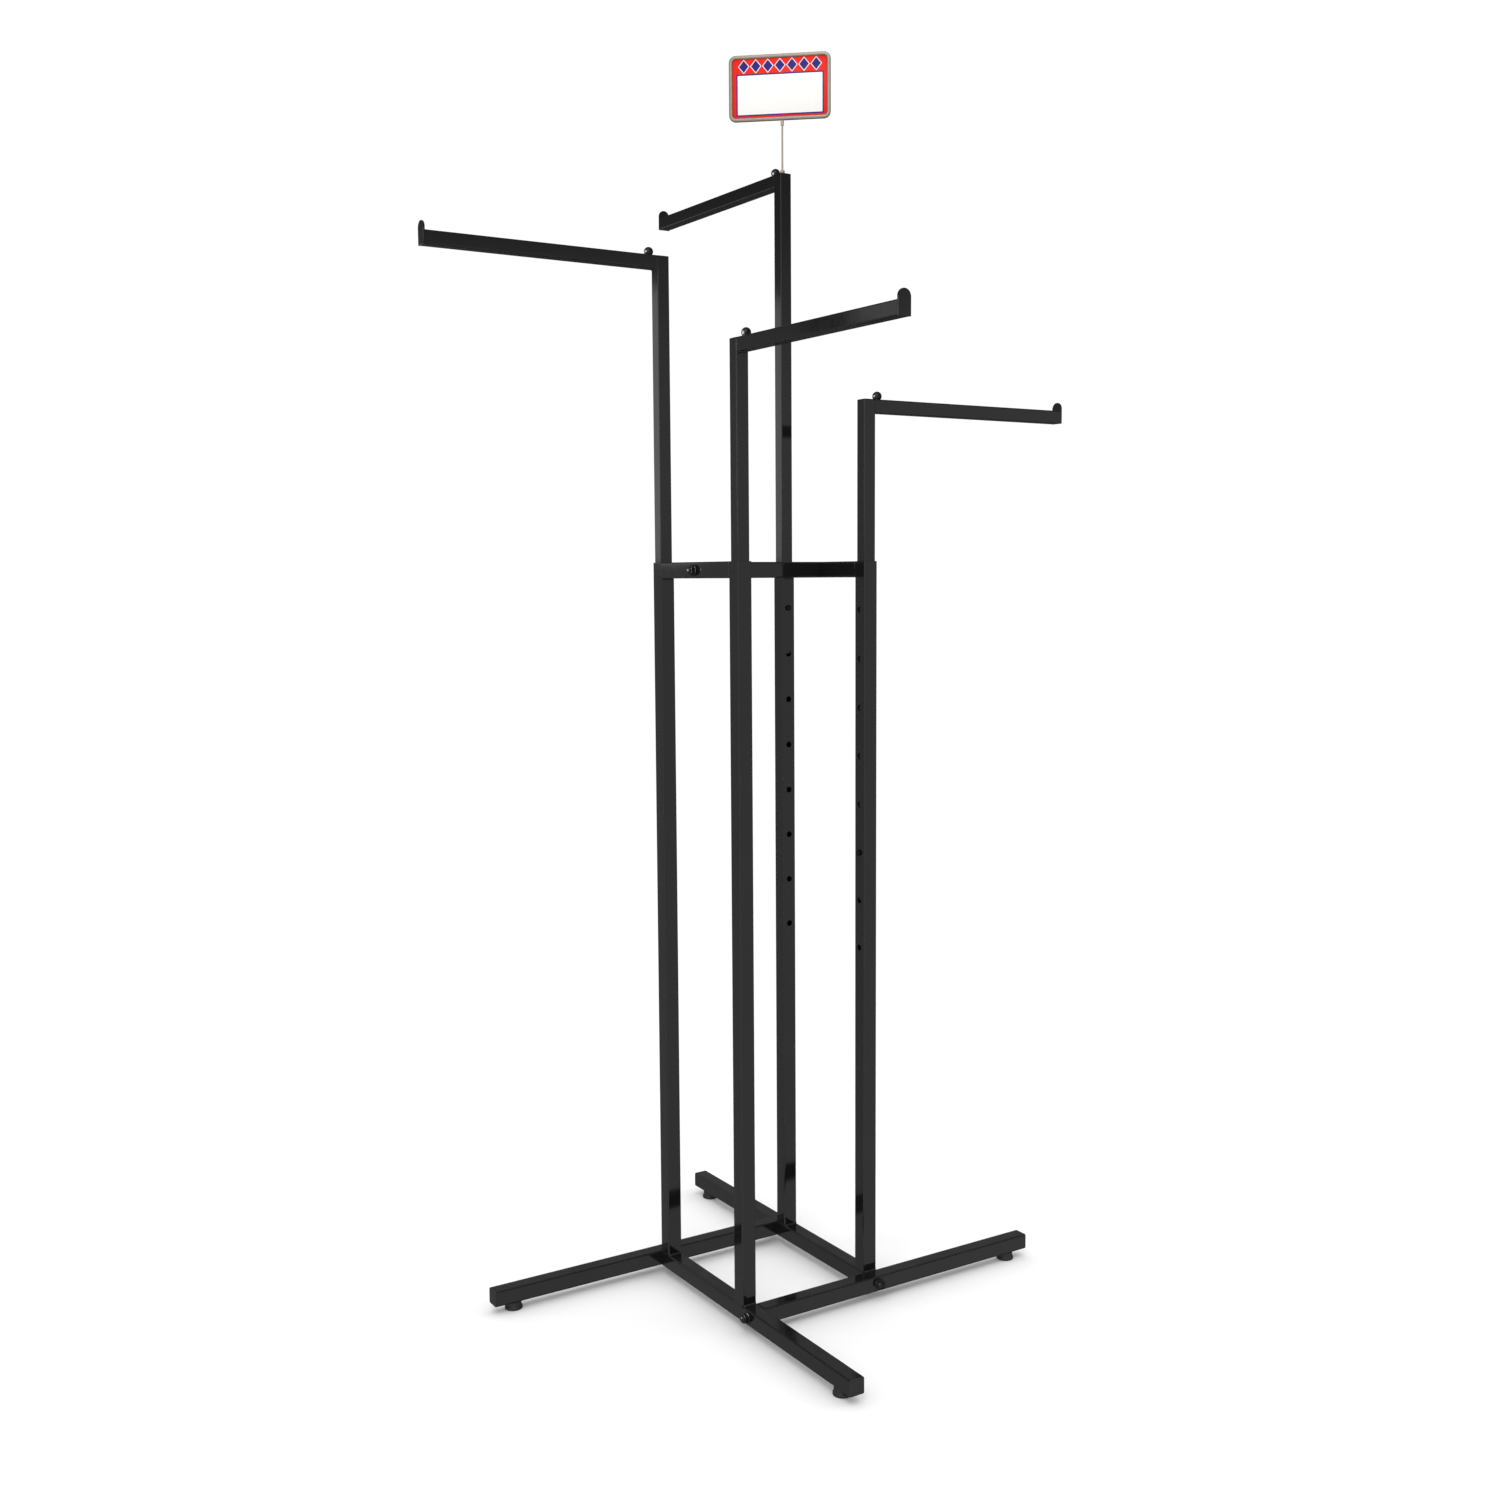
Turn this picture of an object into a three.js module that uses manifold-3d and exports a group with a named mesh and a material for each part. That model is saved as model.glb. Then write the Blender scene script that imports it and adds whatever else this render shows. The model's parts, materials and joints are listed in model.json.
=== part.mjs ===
// Four-way garment rack: two side frames tied by two foot bars and a cross bar,
// four telescoping square uprights, each with one straight arm, and a sign
// holder on the tallest upright.
// Millimetres, +Z up, front is -Y, origin at the centre of the base on the floor.
import * as THREE from 'three';
import { mergeVertices } from 'three/addons/utils/BufferGeometryUtils.js';
import Module from 'manifold-3d';

const wasm = await Module();
wasm.setup();

// ---- driving dimensions -------------------------------------------------
const OUTER = { side: 25, wall: 1.5, corner: 2.4 };    // bars, rails and outer uprights
const INNER = { side: 20.6, wall: 1.2, corner: 1.8 };  // inner uprights and arms
const OUTER_HALF = OUTER.side / 2;
const INNER_HALF = INNER.side / 2;
const CLEAR = 0.3;          // fit clearance per side

const POST_OFFSET = 115;    // upright axis from the centre, in x and in y
const FRAME_INNER = POST_OFFSET - OUTER_HALF;      // inner face of the side frames
const FOOT_BAR_OFFSET = POST_OFFSET + OUTER.side;  // foot bar axis from the centre
const BAR_BOTTOM = 13;      // floor to underside of the base bars
const BAR_MID = BAR_BOTTOM + OUTER_HALF;
const BAR_TOP = BAR_BOTTOM + OUTER.side;
const RAIL_TOP = 1177;      // top of the outer uprights and rails
const RAIL_MID = RAIL_TOP - OUTER_HALF;
const FOOT_X = 426;         // foot tips from the centre
const FOOT_Y = 409;
const FOOT_CAP_FACE = 1.5;  // face plate thickness of a foot cap

const HOLE_PITCH = 76.2;
const HOLE_COUNT = 8;
const HOLE_D = 10;
const FIRST_HOLE_Z = RAIL_TOP - 75;
const BOLT_HOLE_R = 4.3;

const ARM_REACH = 394;      // upright axis to arm tip
const BUTTON_DROP = 702.5;  // arm top down to its snap button
const TUBE_BELOW = 76;      // inner upright below its button
const POST_CAP_FACE = 1.2;  // face plate thickness of an upright cap

// ---- directions ---------------------------------------------------------
// x, y: unit vector; yaw: turn about Z that brings -Y round to this direction;
// lay: turns a shape built along +Z to run this way
const QUARTER = Math.PI / 2;
const DIRECTIONS = {
  '+x': { x: 1, y: 0, yaw: QUARTER, opposite: '-x', lay: g => g.rotateY(QUARTER) },
  '-x': { x: -1, y: 0, yaw: -QUARTER, opposite: '+x', lay: g => g.rotateY(-QUARTER) },
  '+y': { x: 0, y: 1, yaw: Math.PI, opposite: '-y', lay: g => g.rotateX(-QUARTER) },
  '-y': { x: 0, y: -1, yaw: 0, opposite: '+y', lay: g => g.rotateX(QUARTER) },
};
const lay = (geometry, dir) => DIRECTIONS[dir].lay(geometry);

// stand a flat shape up: local +Y becomes up, local +Z faces -Y and then turns by yaw
const stand = (geometry, yaw) => geometry.rotateX(QUARTER).rotateZ(yaw);

// ---- shape helpers ------------------------------------------------------
function roundedRect(width, height, radius, segments = 2) {
  const cx = width / 2 - radius;
  const cy = height / 2 - radius;
  const corners = [[cx, cy, 0], [-cx, cy, 90], [-cx, -cy, 180], [cx, -cy, 270]];
  const points = [];
  for (const [x, y, start] of corners) {
    for (let i = 0; i <= segments; i++) {
      const angle = (start + 90 * i / segments) * Math.PI / 180;
      points.push([x + radius * Math.cos(angle), y + radius * Math.sin(angle)]);
    }
  }
  return points;
}
const square = (side, radius, segments) => roundedRect(side, side, radius, segments);

function circle(radius, segments) {
  const points = [];
  for (let i = 0; i < segments; i++) {
    const angle = 2 * Math.PI * (i + 0.5) / segments;
    points.push([radius * Math.cos(angle), radius * Math.sin(angle)]);
  }
  return points;
}

const toVectors = points => points.map(([x, y]) => new THREE.Vector2(x, y));

function prism(points, z0, z1, hole) {
  const shape = new THREE.Shape(toVectors(points));
  if (hole) shape.holes.push(new THREE.Path(toVectors(hole).reverse()));
  const options = { depth: z1 - z0, bevelEnabled: false, steps: 1 };
  return new THREE.ExtrudeGeometry(shape, options).translate(0, 0, z0);
}

const rod = (radius, z0, z1, segments = 16) => prism(circle(radius, segments), z0, z1);

function tube({ side, wall, corner }, z0, z1) {
  const bore = square(side - 2 * wall, Math.max(corner - wall, 0.6), 1);
  return prism(square(side, corner), z0, z1, bore);
}

// side of a square plug that fits inside a tube
const plugSide = ({ side, wall }) => side - 2 * wall - 2 * CLEAR;

// stacked convex outlines [points, z], closed at both ends
function loft(rings) {
  const count = rings[0][0].length;
  const positions = rings.flatMap(([points, z]) => points.flatMap(([x, y]) => [x, y, z]));
  const index = [];
  for (let k = 0; k + 1 < rings.length; k++) {
    for (let i = 0; i < count; i++) {
      const low = k * count + i;
      const lowNext = k * count + (i + 1) % count;
      const high = low + count;
      const highNext = lowNext + count;
      index.push(low, lowNext, highNext, low, highNext, high);
    }
  }
  for (let i = 1; i + 1 < count; i++) index.push(0, i + 1, i);
  const top = (rings.length - 1) * count;
  for (let i = 1; i + 1 < count; i++) index.push(top, top + i, top + i + 1);
  const geometry = new THREE.BufferGeometry();
  geometry.setAttribute('position', new THREE.Float32BufferAttribute(positions, 3));
  geometry.setIndex(index);
  return geometry;
}

// loft through rounded squares given as [side, corner radius, z]
const squareLoft = rows => loft(rows.map(([side, corner, z]) => [square(side, corner), z]));

// turned shape about +Z from [radius, z] points running bottom to top
const lathe = (profile, segments) =>
  new THREE.LatheGeometry(toVectors(profile), segments).rotateX(QUARTER);

function weld(geometry) {
  geometry.deleteAttribute('normal');
  geometry.deleteAttribute('uv');
  return mergeVertices(geometry, 1e-4);
}

function toManifold(geometry) {
  const welded = weld(geometry);
  return new wasm.Manifold(new wasm.Mesh({
    numProp: 3,
    vertProperties: new Float32Array(welded.attributes.position.array),
    triVerts: new Uint32Array(welded.index.array),
  }));
}

function fromManifold(manifold) {
  const mesh = manifold.getMesh();
  const positions = new Float32Array(mesh.vertProperties);
  const geometry = new THREE.BufferGeometry();
  geometry.setAttribute('position', new THREE.BufferAttribute(positions, 3));
  geometry.setIndex(new THREE.BufferAttribute(new Uint32Array(mesh.triVerts), 1));
  return geometry;
}

const cut = (body, ...tools) =>
  fromManifold(tools.reduce((result, tool) => result.subtract(toManifold(tool)), toManifold(body)));
const join = (first, second) => fromManifold(toManifold(first).add(toManifold(second)));

// ---- materials and group ------------------------------------------------
const MATERIALS = {
  coat: { color: 0x24252a, roughness: 0.42, metalness: 0.25 },
  glide: { color: 0x1b1b1c, roughness: 0.62, metalness: 0.0 },
  fastener: { color: 0x17181a, roughness: 0.28, metalness: 0.6 },
  insert: { color: 0x8d9094, roughness: 0.45, metalness: 0.7 },
  ball: { color: 0x101012, roughness: 0.16, metalness: 0.1 },
  button: { color: 0x2b2c30, roughness: 0.35, metalness: 0.3 },
  satin: { color: 0xb5ada1, roughness: 0.3, metalness: 0.9 },
  card: { color: 0xe8351f, roughness: 0.55, metalness: 0.0 },
};

const group = new THREE.Group();
group.name = 'four_way_rack';

function add(name, geometry, materialName) {
  const welded = weld(geometry);
  welded.computeVertexNormals();
  const material = new THREE.MeshStandardMaterial({
    ...MATERIALS[materialName],
    flatShading: true,
  });
  const mesh = new THREE.Mesh(welded, material);
  mesh.name = name;
  group.add(mesh);
}

// ---- base and side frames -----------------------------------------------
const LEVELER_INSET = 36;   // foot tip to leveler axis
const STEM_R = 4;           // leveler stem

const bar = (dir, from, to) =>
  lay(tube(OUTER, Math.min(from, to), Math.max(from, to)), dir);
const boltHole = dir => lay(rod(BOLT_HOLE_R, -20, 20), dir);
const levelerHole = () => rod(STEM_R + CLEAR, BAR_BOTTOM - 2, BAR_BOTTOM + 4);

// bar along Y under one side frame: one end butts on a foot bar, the other is a foot
function baseBar(sign) {
  const x = sign * POST_OFFSET;
  const buttEnd = -sign * (FOOT_BAR_OFFSET - OUTER_HALF);
  const openEnd = sign * (FOOT_Y - FOOT_CAP_FACE);
  return cut(
    bar('+y', buttEnd, openEnd).translate(x, 0, BAR_MID),
    boltHole('+x').translate(x, sign * FOOT_BAR_OFFSET, BAR_MID),
    levelerHole().translate(x, sign * (FOOT_Y - LEVELER_INSET), 0));
}

// rail along Y between the tops of two uprights, drilled for the cross bar bolt
function topRail(sign) {
  const x = sign * POST_OFFSET;
  return cut(
    bar('+y', -FRAME_INNER, FRAME_INNER).translate(x, 0, RAIL_MID),
    boltHole('+x').translate(x, 0, RAIL_MID));
}

// bar along X, outside the uprights: one end butts on a base bar, the other is a foot
function footBar(sign) {
  const y = sign * FOOT_BAR_OFFSET;
  const openEnd = -sign * (FOOT_X - FOOT_CAP_FACE);
  return cut(
    bar('+x', sign * FRAME_INNER, openEnd).translate(0, y, BAR_MID),
    boltHole('+y').translate(-sign * POST_OFFSET, y, BAR_MID),
    levelerHole().translate(-sign * (FOOT_X - LEVELER_INSET), y, 0));
}

for (const [side, end, sign] of [['left', 'front', -1], ['right', 'rear', 1]]) {
  add(`base_bar_${side}`, baseBar(sign), 'coat');
  add(`top_rail_${side}`, topRail(sign), 'coat');
  add(`foot_bar_${end}`, footBar(sign), 'coat');
}
add('cross_bar', bar('+x', -FRAME_INNER, FRAME_INNER).translate(0, 0, RAIL_MID), 'coat');

// ---- feet: end caps and levelers ----------------------------------------
// name, direction the foot points, x and y of its tip
const FEET = [
  ['front', '-y', -POST_OFFSET, -FOOT_Y],
  ['rear', '+y', POST_OFFSET, FOOT_Y],
  ['right', '+x', FOOT_X, -FOOT_BAR_OFFSET],
  ['left', '-x', -FOOT_X, FOOT_BAR_OFFSET],
];

// plug inside the tube and a face plate outside; z = 0 is the open bar end
function footCap() {
  const plug = plugSide(OUTER);
  const { side, corner } = OUTER;
  return squareLoft([
    [plug - 1.2, 1, -14], [plug, 1.2, -12], [plug, 1.2, 0],
    [side, corner, 0], [side, corner, 0.8], [side - 1.2, corner - 0.6, FOOT_CAP_FACE],
  ]);
}

// pad, collar and stem in one, standing on the floor
function leveler() {
  const padR = 14;
  const collarTop = BAR_BOTTOM - CLEAR;
  return lathe([
    [0, 0], [padR - 1, 0], [padR, 0.9], [padR, 4.2], [padR - 1.4, 5.4],
    [padR - 1.8, BAR_BOTTOM - 1.2], [padR - 3, collarTop], [STEM_R, collarTop],
    [STEM_R, 32], [STEM_R - 0.8, 33], [0, 33],
  ], 20);
}

for (const [name, dir, x, y] of FEET) {
  const cap = footCap().translate(0, 0, -FOOT_CAP_FACE);
  add(`foot_cap_${name}`, lay(cap, dir).translate(x, y, BAR_MID), 'glide');
}
for (const [name, dir, x, y] of FEET) {
  const { x: dx, y: dy } = DIRECTIONS[dir];
  const axisX = x - dx * LEVELER_INSET;
  const axisY = y - dy * LEVELER_INSET;
  add(`leveler_${name}`, leveler().translate(axisX, axisY, 0), 'glide');
}

// ---- bolted joints ------------------------------------------------------
// bored plug set just inside a bar end; z = 0 is the bar end, +Z points out of it
function insert() {
  const length = 20;
  const setback = 0.2;
  const block = prism(square(plugSide(OUTER), 1.2), -length - setback, -setback);
  return cut(block, rod(4, -length - 2, 2));
}

// flanged, domed hex bolt; z = 0 is the seating face, the head is on the +Z side
function bolt() {
  const end = -OUTER.side - 16;
  const turned = lathe([
    [0, end], [3.2, end], [3.8, end + 0.8], [3.8, 0], [9, 0], [9, 1.4], [8.4, 1.8],
    [6.2, 1.8], [6.2, 8], [5.3, 10.3], [3.3, 11.7], [0, 12.2],
  ], 18);
  const hex = loft([[circle(8.2, 6), 1.6], [circle(8.2, 6), 6.6], [circle(7.5, 6), 7.2]]);
  return join(turned, hex);
}

// level, name, bolt head direction, x, y, z of the centre of the drilled bar
const JOINTS = [
  ['base', 'front_left', '-x', -POST_OFFSET, -FOOT_BAR_OFFSET, BAR_MID],
  ['base', 'rear_right', '+x', POST_OFFSET, FOOT_BAR_OFFSET, BAR_MID],
  ['base', 'front_right', '-y', POST_OFFSET, -FOOT_BAR_OFFSET, BAR_MID],
  ['base', 'rear_left', '+y', -POST_OFFSET, FOOT_BAR_OFFSET, BAR_MID],
  ['top', 'left', '-x', -POST_OFFSET, 0, RAIL_MID],
  ['top', 'right', '+x', POST_OFFSET, 0, RAIL_MID],
];
for (const [level, name, dir, x, y, z] of JOINTS) {
  const seated = lay(bolt().translate(0, 0, OUTER_HALF), dir);
  const pressed = lay(insert().translate(0, 0, -OUTER_HALF), dir);
  add(`${level}_bolt_${name}`, seated.translate(x, y, z), 'fastener');
  add(`${level}_insert_${name}`, pressed.translate(x, y, z), 'insert');
}

// ---- uprights and arms, each built about its upright's axis -------------
const STOP_T = 3;           // end stop plate thickness
const STOP_UP = 14;         // end stop height above the arm
const BALL_R = 7.3;
const BALL_AT = 20.5;       // ball stop from the upright axis
const BALL_FOOT = 4.8;      // radius of the ball stop where it stands on the arm
const BUTTON_R = 4.6;
const BUTTON_PROUD = 4.6;   // button tip beyond the outer upright's face
const SOCKET_HOLE_R = 3.4;

// row of holes on the side opposite the arm
function outerUpright(holeDir) {
  const holes = [];
  for (let i = 0; i < HOLE_COUNT; i++) {
    const z = FIRST_HOLE_Z - HOLE_PITCH * i;
    holes.push(lay(rod(HOLE_D / 2, 4, 20), holeDir).translate(0, 0, z));
  }
  return cut(tube(OUTER, BAR_TOP, RAIL_TOP), ...holes);
}

function innerUpright(holeDir, buttonZ, armTop) {
  return cut(
    tube(INNER, buttonZ - TUBE_BELOW, armTop - POST_CAP_FACE),
    lay(rod(BUTTON_R + CLEAR, 4, 20), holeDir).translate(0, 0, buttonZ));
}

// closes the inner upright; z = 0 is level with the arm top
function uprightCap() {
  const plug = plugSide(INNER);
  const { side, corner } = INNER;
  return squareLoft([
    [plug - 1, 1, -12], [plug, 1.1, -10.5], [plug, 1.1, -POST_CAP_FACE],
    [side, corner, -POST_CAP_FACE], [side, corner, -0.5], [side - 1, corner - 0.5, 0],
  ]);
}

// plate across the arm end with a rounded top; z = 0 is the arm top
function endStop(dir) {
  const points = [[-INNER_HALF, -INNER.side], [INNER_HALF, -INNER.side]];
  for (let i = 0; i <= 10; i++) {
    const angle = Math.PI * i / 10;
    const rise = STOP_UP - INNER_HALF + INNER_HALF * Math.sin(angle);
    points.push([INNER_HALF * Math.cos(angle), rise]);
  }
  return stand(prism(points, ARM_REACH - STOP_T, ARM_REACH), DIRECTIONS[dir].yaw);
}

// ball cut flat where it stands on the arm
function ballStop() {
  const centreZ = Math.sqrt(BALL_R ** 2 - BALL_FOOT ** 2);
  const start = Math.asin(-centreZ / BALL_R);
  const profile = [[0, 0], [BALL_FOOT, 0]];
  for (let i = 1; i <= 8; i++) {
    const angle = start + (QUARTER - start) * i / 8;
    const radius = i === 8 ? 0 : BALL_R * Math.cos(angle);
    profile.push([radius, centreZ + BALL_R * Math.sin(angle)]);
  }
  return lathe(profile, 18);
}

// domed pin on a flat spring leaf that hangs down inside the inner upright
function snapButton(holeDir) {
  const wall = INNER_HALF - INNER.wall;   // inside face of the inner upright
  const tip = OUTER_HALF + BUTTON_PROUD;
  const pin = lathe([
    [0, wall - 3], [3.2, wall - 3], [3.2, wall - 1.7], [6.2, wall - 1.7],
    [6.2, wall - CLEAR], [BUTTON_R, wall - CLEAR], [BUTTON_R, tip - 2.6],
    [BUTTON_R - 0.9, tip - 1.1], [BUTTON_R - 2.4, tip - 0.2], [0, tip],
  ], 16);
  const leafPoints = [[-4.5, -44], [4.5, -44], [4.5, 6], [-4.5, 6]];
  const leaf = prism(leafPoints, wall - 2.4, wall - 1.4);
  return stand(join(pin, leaf), DIRECTIONS[holeDir].yaw);
}

// name, x, y, arm direction, hole the button is in (0 is the top one)
const POSTS = [
  ['left', -POST_OFFSET, POST_OFFSET, '-x', 2],
  ['front', -POST_OFFSET, -POST_OFFSET, '-y', 4],
  ['right', POST_OFFSET, -POST_OFFSET, '+x', 5],
  ['back', POST_OFFSET, POST_OFFSET, '+y', 0],
];
for (const [name, x, y, dir, hole] of POSTS) {
  const { x: dx, y: dy, opposite } = DIRECTIONS[dir];
  const buttonZ = FIRST_HOLE_Z - HOLE_PITCH * hole;
  const armTop = buttonZ + BUTTON_DROP;
  const inner = innerUpright(opposite, buttonZ, armTop);
  const cap = name === 'back' ? cut(uprightCap(), rod(SOCKET_HOLE_R, -20, 20)) : uprightCap();
  const arm = lay(tube(INNER, INNER_HALF, ARM_REACH - STOP_T), dir);
  const ball = ballStop().translate(dx * BALL_AT, dy * BALL_AT, 0);

  add(`outer_upright_${name}`, outerUpright(opposite).translate(x, y, 0), 'coat');
  add(`inner_upright_${name}`, inner.translate(x, y, 0), 'coat');
  add(`upright_cap_${name}`, cap.translate(x, y, armTop), 'glide');
  add(`arm_${name}`, arm.translate(x, y, armTop - INNER_HALF), 'coat');
  add(`end_stop_${name}`, endStop(dir).translate(x, y, armTop), 'coat');
  add(`ball_stop_${name}`, ball.translate(x, y, armTop), 'ball');
  add(`snap_button_${name}`, snapButton(opposite).translate(x, y, buttonZ), 'button');
}

// ---- sign holder on the back upright ------------------------------------
const SIGN_YAW = -41 * Math.PI / 180;
const SIGN_W = 166;
const SIGN_H = 104;
const SIGN_T = 5;
const SIGN_BOTTOM = 1889.5;
const SIGN_SHIFT = -4;      // sign centre from the stem, along its width
const SIGN_LIP = 6;         // border around the window
const SLOT_T = 2.2;
const SLOT_MARGIN = 5.6;    // slot smaller than the frame, both sides together
const CARD_T = 1.4;
const CARD_DROP = 0.8;      // card centre below the frame centre
const BACK_TOP = FIRST_HOLE_Z + BUTTON_DROP;   // top of the back upright

// collar standing in the cap hole, bored for the stem
function signSocket() {
  const collar = lathe([
    [0, -9], [3.1, -9], [3.1, 0.1], [3.9, 0.1], [3.9, 4.8], [3.1, 6.4], [0, 6.4],
  ], 16);
  return cut(collar, rod(1.85, -7.5, 10, 12));
}

// thin rod with a ferrule under the sign frame
function signStem() {
  const top = SIGN_BOTTOM - BACK_TOP;
  return lathe([
    [0, -7], [1.2, -7], [1.5, -6.4], [1.5, top - 9], [2.7, top - 8.2],
    [2.7, top - 1.2], [2.2, top], [0, top],
  ], 12);
}

// rounded rim with front and back lips and a card slot open at the top
function signFrame() {
  const lips = 2 * SIGN_LIP;
  const rim = prism(roundedRect(SIGN_W, SIGN_H, 11, 4), -SIGN_T / 2, SIGN_T / 2);
  const opening = prism(roundedRect(SIGN_W - lips, SIGN_H - lips, 6, 3), -SIGN_T, SIGN_T);
  // the slot keeps the rounded bottom corners and runs straight out of the top
  const slotW = SIGN_W - SLOT_MARGIN;
  const slotPoints = roundedRect(slotW, SIGN_H - SLOT_MARGIN, 8.2, 3).filter(([, y]) => y < 0);
  slotPoints.push([slotW / 2, SIGN_H], [-slotW / 2, SIGN_H]);
  return cut(rim, opening, prism(slotPoints, -SLOT_T / 2, SLOT_T / 2));
}

const signCard = () =>
  prism(roundedRect(SIGN_W - 6.4, SIGN_H - 8, 8, 3), -CARD_T / 2, CARD_T / 2);

// stand a flat sign part up over the back upright
const mountSign = (part, drop) =>
  stand(part.translate(SIGN_SHIFT, 0, 0), SIGN_YAW)
    .translate(POST_OFFSET, POST_OFFSET, SIGN_BOTTOM + SIGN_H / 2 - drop);

add('sign_socket', signSocket().translate(POST_OFFSET, POST_OFFSET, BACK_TOP), 'satin');
add('sign_stem', signStem().translate(POST_OFFSET, POST_OFFSET, BACK_TOP), 'satin');
add('sign_frame', mountSign(signFrame(), 0), 'satin');
add('sign_card', mountSign(signCard(), CARD_DROP), 'card');

export default group;
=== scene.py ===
"""Looks for a four-way garment rack: fine meshes and procedural materials over its CAD frame.

The rack stands on the floor, z = 0, around the origin. Four posts each carry one arm, pointing
left (-X), front (-Y), right (+X) and back (+Y). A sign stands on the back post.
Shapes are worked out in millimetres and stored in metres; lights and camera are in metres.
"""
import json
import math
import random
from functools import cached_property

import bpy
import bmesh
from mathutils import Matrix, Vector
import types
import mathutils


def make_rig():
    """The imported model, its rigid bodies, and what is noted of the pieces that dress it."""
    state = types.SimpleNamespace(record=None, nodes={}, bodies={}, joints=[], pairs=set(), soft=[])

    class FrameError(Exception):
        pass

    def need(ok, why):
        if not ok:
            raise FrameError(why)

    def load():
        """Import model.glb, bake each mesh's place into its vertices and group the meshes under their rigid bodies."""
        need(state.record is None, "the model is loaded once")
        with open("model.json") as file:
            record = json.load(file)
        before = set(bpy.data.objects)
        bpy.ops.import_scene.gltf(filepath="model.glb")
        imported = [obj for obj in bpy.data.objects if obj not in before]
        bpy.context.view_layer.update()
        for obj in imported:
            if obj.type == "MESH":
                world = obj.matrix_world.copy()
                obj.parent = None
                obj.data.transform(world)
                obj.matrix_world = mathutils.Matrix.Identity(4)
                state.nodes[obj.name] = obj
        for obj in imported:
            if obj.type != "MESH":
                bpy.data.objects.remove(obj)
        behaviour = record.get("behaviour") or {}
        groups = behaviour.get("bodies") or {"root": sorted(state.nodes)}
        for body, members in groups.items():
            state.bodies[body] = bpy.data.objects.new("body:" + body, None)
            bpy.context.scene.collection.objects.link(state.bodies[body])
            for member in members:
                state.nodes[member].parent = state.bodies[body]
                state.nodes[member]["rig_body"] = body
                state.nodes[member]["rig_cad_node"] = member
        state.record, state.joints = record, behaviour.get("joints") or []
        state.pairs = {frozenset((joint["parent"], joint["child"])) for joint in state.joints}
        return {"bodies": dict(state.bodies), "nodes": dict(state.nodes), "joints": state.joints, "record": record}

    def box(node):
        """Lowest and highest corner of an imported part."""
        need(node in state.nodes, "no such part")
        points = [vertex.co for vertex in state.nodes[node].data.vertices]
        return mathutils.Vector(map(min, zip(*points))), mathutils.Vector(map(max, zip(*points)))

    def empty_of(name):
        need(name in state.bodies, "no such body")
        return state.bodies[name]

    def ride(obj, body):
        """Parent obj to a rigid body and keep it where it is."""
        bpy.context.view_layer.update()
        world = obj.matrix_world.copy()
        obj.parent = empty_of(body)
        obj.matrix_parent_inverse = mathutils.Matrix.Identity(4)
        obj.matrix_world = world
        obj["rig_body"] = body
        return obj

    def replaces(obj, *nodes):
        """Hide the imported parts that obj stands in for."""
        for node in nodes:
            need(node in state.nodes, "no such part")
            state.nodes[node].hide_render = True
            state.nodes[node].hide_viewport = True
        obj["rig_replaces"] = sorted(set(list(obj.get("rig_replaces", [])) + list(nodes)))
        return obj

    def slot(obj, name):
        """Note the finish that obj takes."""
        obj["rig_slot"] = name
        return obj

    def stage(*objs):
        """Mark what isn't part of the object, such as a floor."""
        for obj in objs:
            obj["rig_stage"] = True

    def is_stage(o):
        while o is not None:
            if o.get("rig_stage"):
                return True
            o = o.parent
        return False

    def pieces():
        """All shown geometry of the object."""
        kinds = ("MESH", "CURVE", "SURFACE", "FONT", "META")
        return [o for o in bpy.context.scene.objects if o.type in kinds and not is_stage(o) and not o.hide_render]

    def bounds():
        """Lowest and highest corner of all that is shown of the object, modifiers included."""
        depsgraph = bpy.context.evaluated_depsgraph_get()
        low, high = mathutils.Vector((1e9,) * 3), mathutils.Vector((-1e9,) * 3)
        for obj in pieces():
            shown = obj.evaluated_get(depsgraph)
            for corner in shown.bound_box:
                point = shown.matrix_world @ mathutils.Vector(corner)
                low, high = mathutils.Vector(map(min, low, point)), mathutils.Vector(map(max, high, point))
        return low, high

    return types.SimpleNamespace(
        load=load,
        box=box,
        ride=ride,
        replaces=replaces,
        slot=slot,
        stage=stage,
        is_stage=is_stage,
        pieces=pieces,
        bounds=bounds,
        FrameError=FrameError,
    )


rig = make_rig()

random.seed(7)
for old_object in list(bpy.data.objects):
    bpy.data.objects.remove(old_object, do_unlink=True)

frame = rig.load()
CAD_BOX = [[float(c) for c in v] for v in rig.bounds()]
scene = bpy.context.scene
MM = 0.001
X, Y, Z = Vector((1, 0, 0)), Vector((0, 1, 0)), Vector((0, 0, 1))

# ------------------------------------------------------------------ pieces of the frame

BODY = {node: body
        for body, nodes in frame["record"]["behaviour"]["bodies"].items() for node in nodes}
SLOT = {part["node"]: part["material_slot"] for part in frame["record"]["subparts"]}
BOLTS = [node for node in BODY if "_bolt_" in node]
INSERTS = [node for node in BODY if "_insert_" in node]


def box(node):
    """Low and high corners of a CAD piece, in mm."""
    lo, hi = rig.box(node)
    return Vector(lo) * 1000, Vector(hi) * 1000


def centre(node):
    lo, hi = box(node)
    return (lo + hi) / 2


def span(node, axis):
    """Lowest and highest place of a CAD piece along an axis."""
    lo, hi = box(node)
    return min(lo.dot(axis), hi.dot(axis)), max(lo.dot(axis), hi.dot(axis))


def post_base(side):
    """Point on the floor under the middle of a post."""
    lo, hi = box("outer_upright_" + side)
    return Vector(((lo.x + hi.x) / 2, (lo.y + hi.y) / 2, 0))


def arm_top(side):
    return box("arm_" + side)[1].z


# ------------------------------------------------------------------ dimensions (mm)

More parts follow.
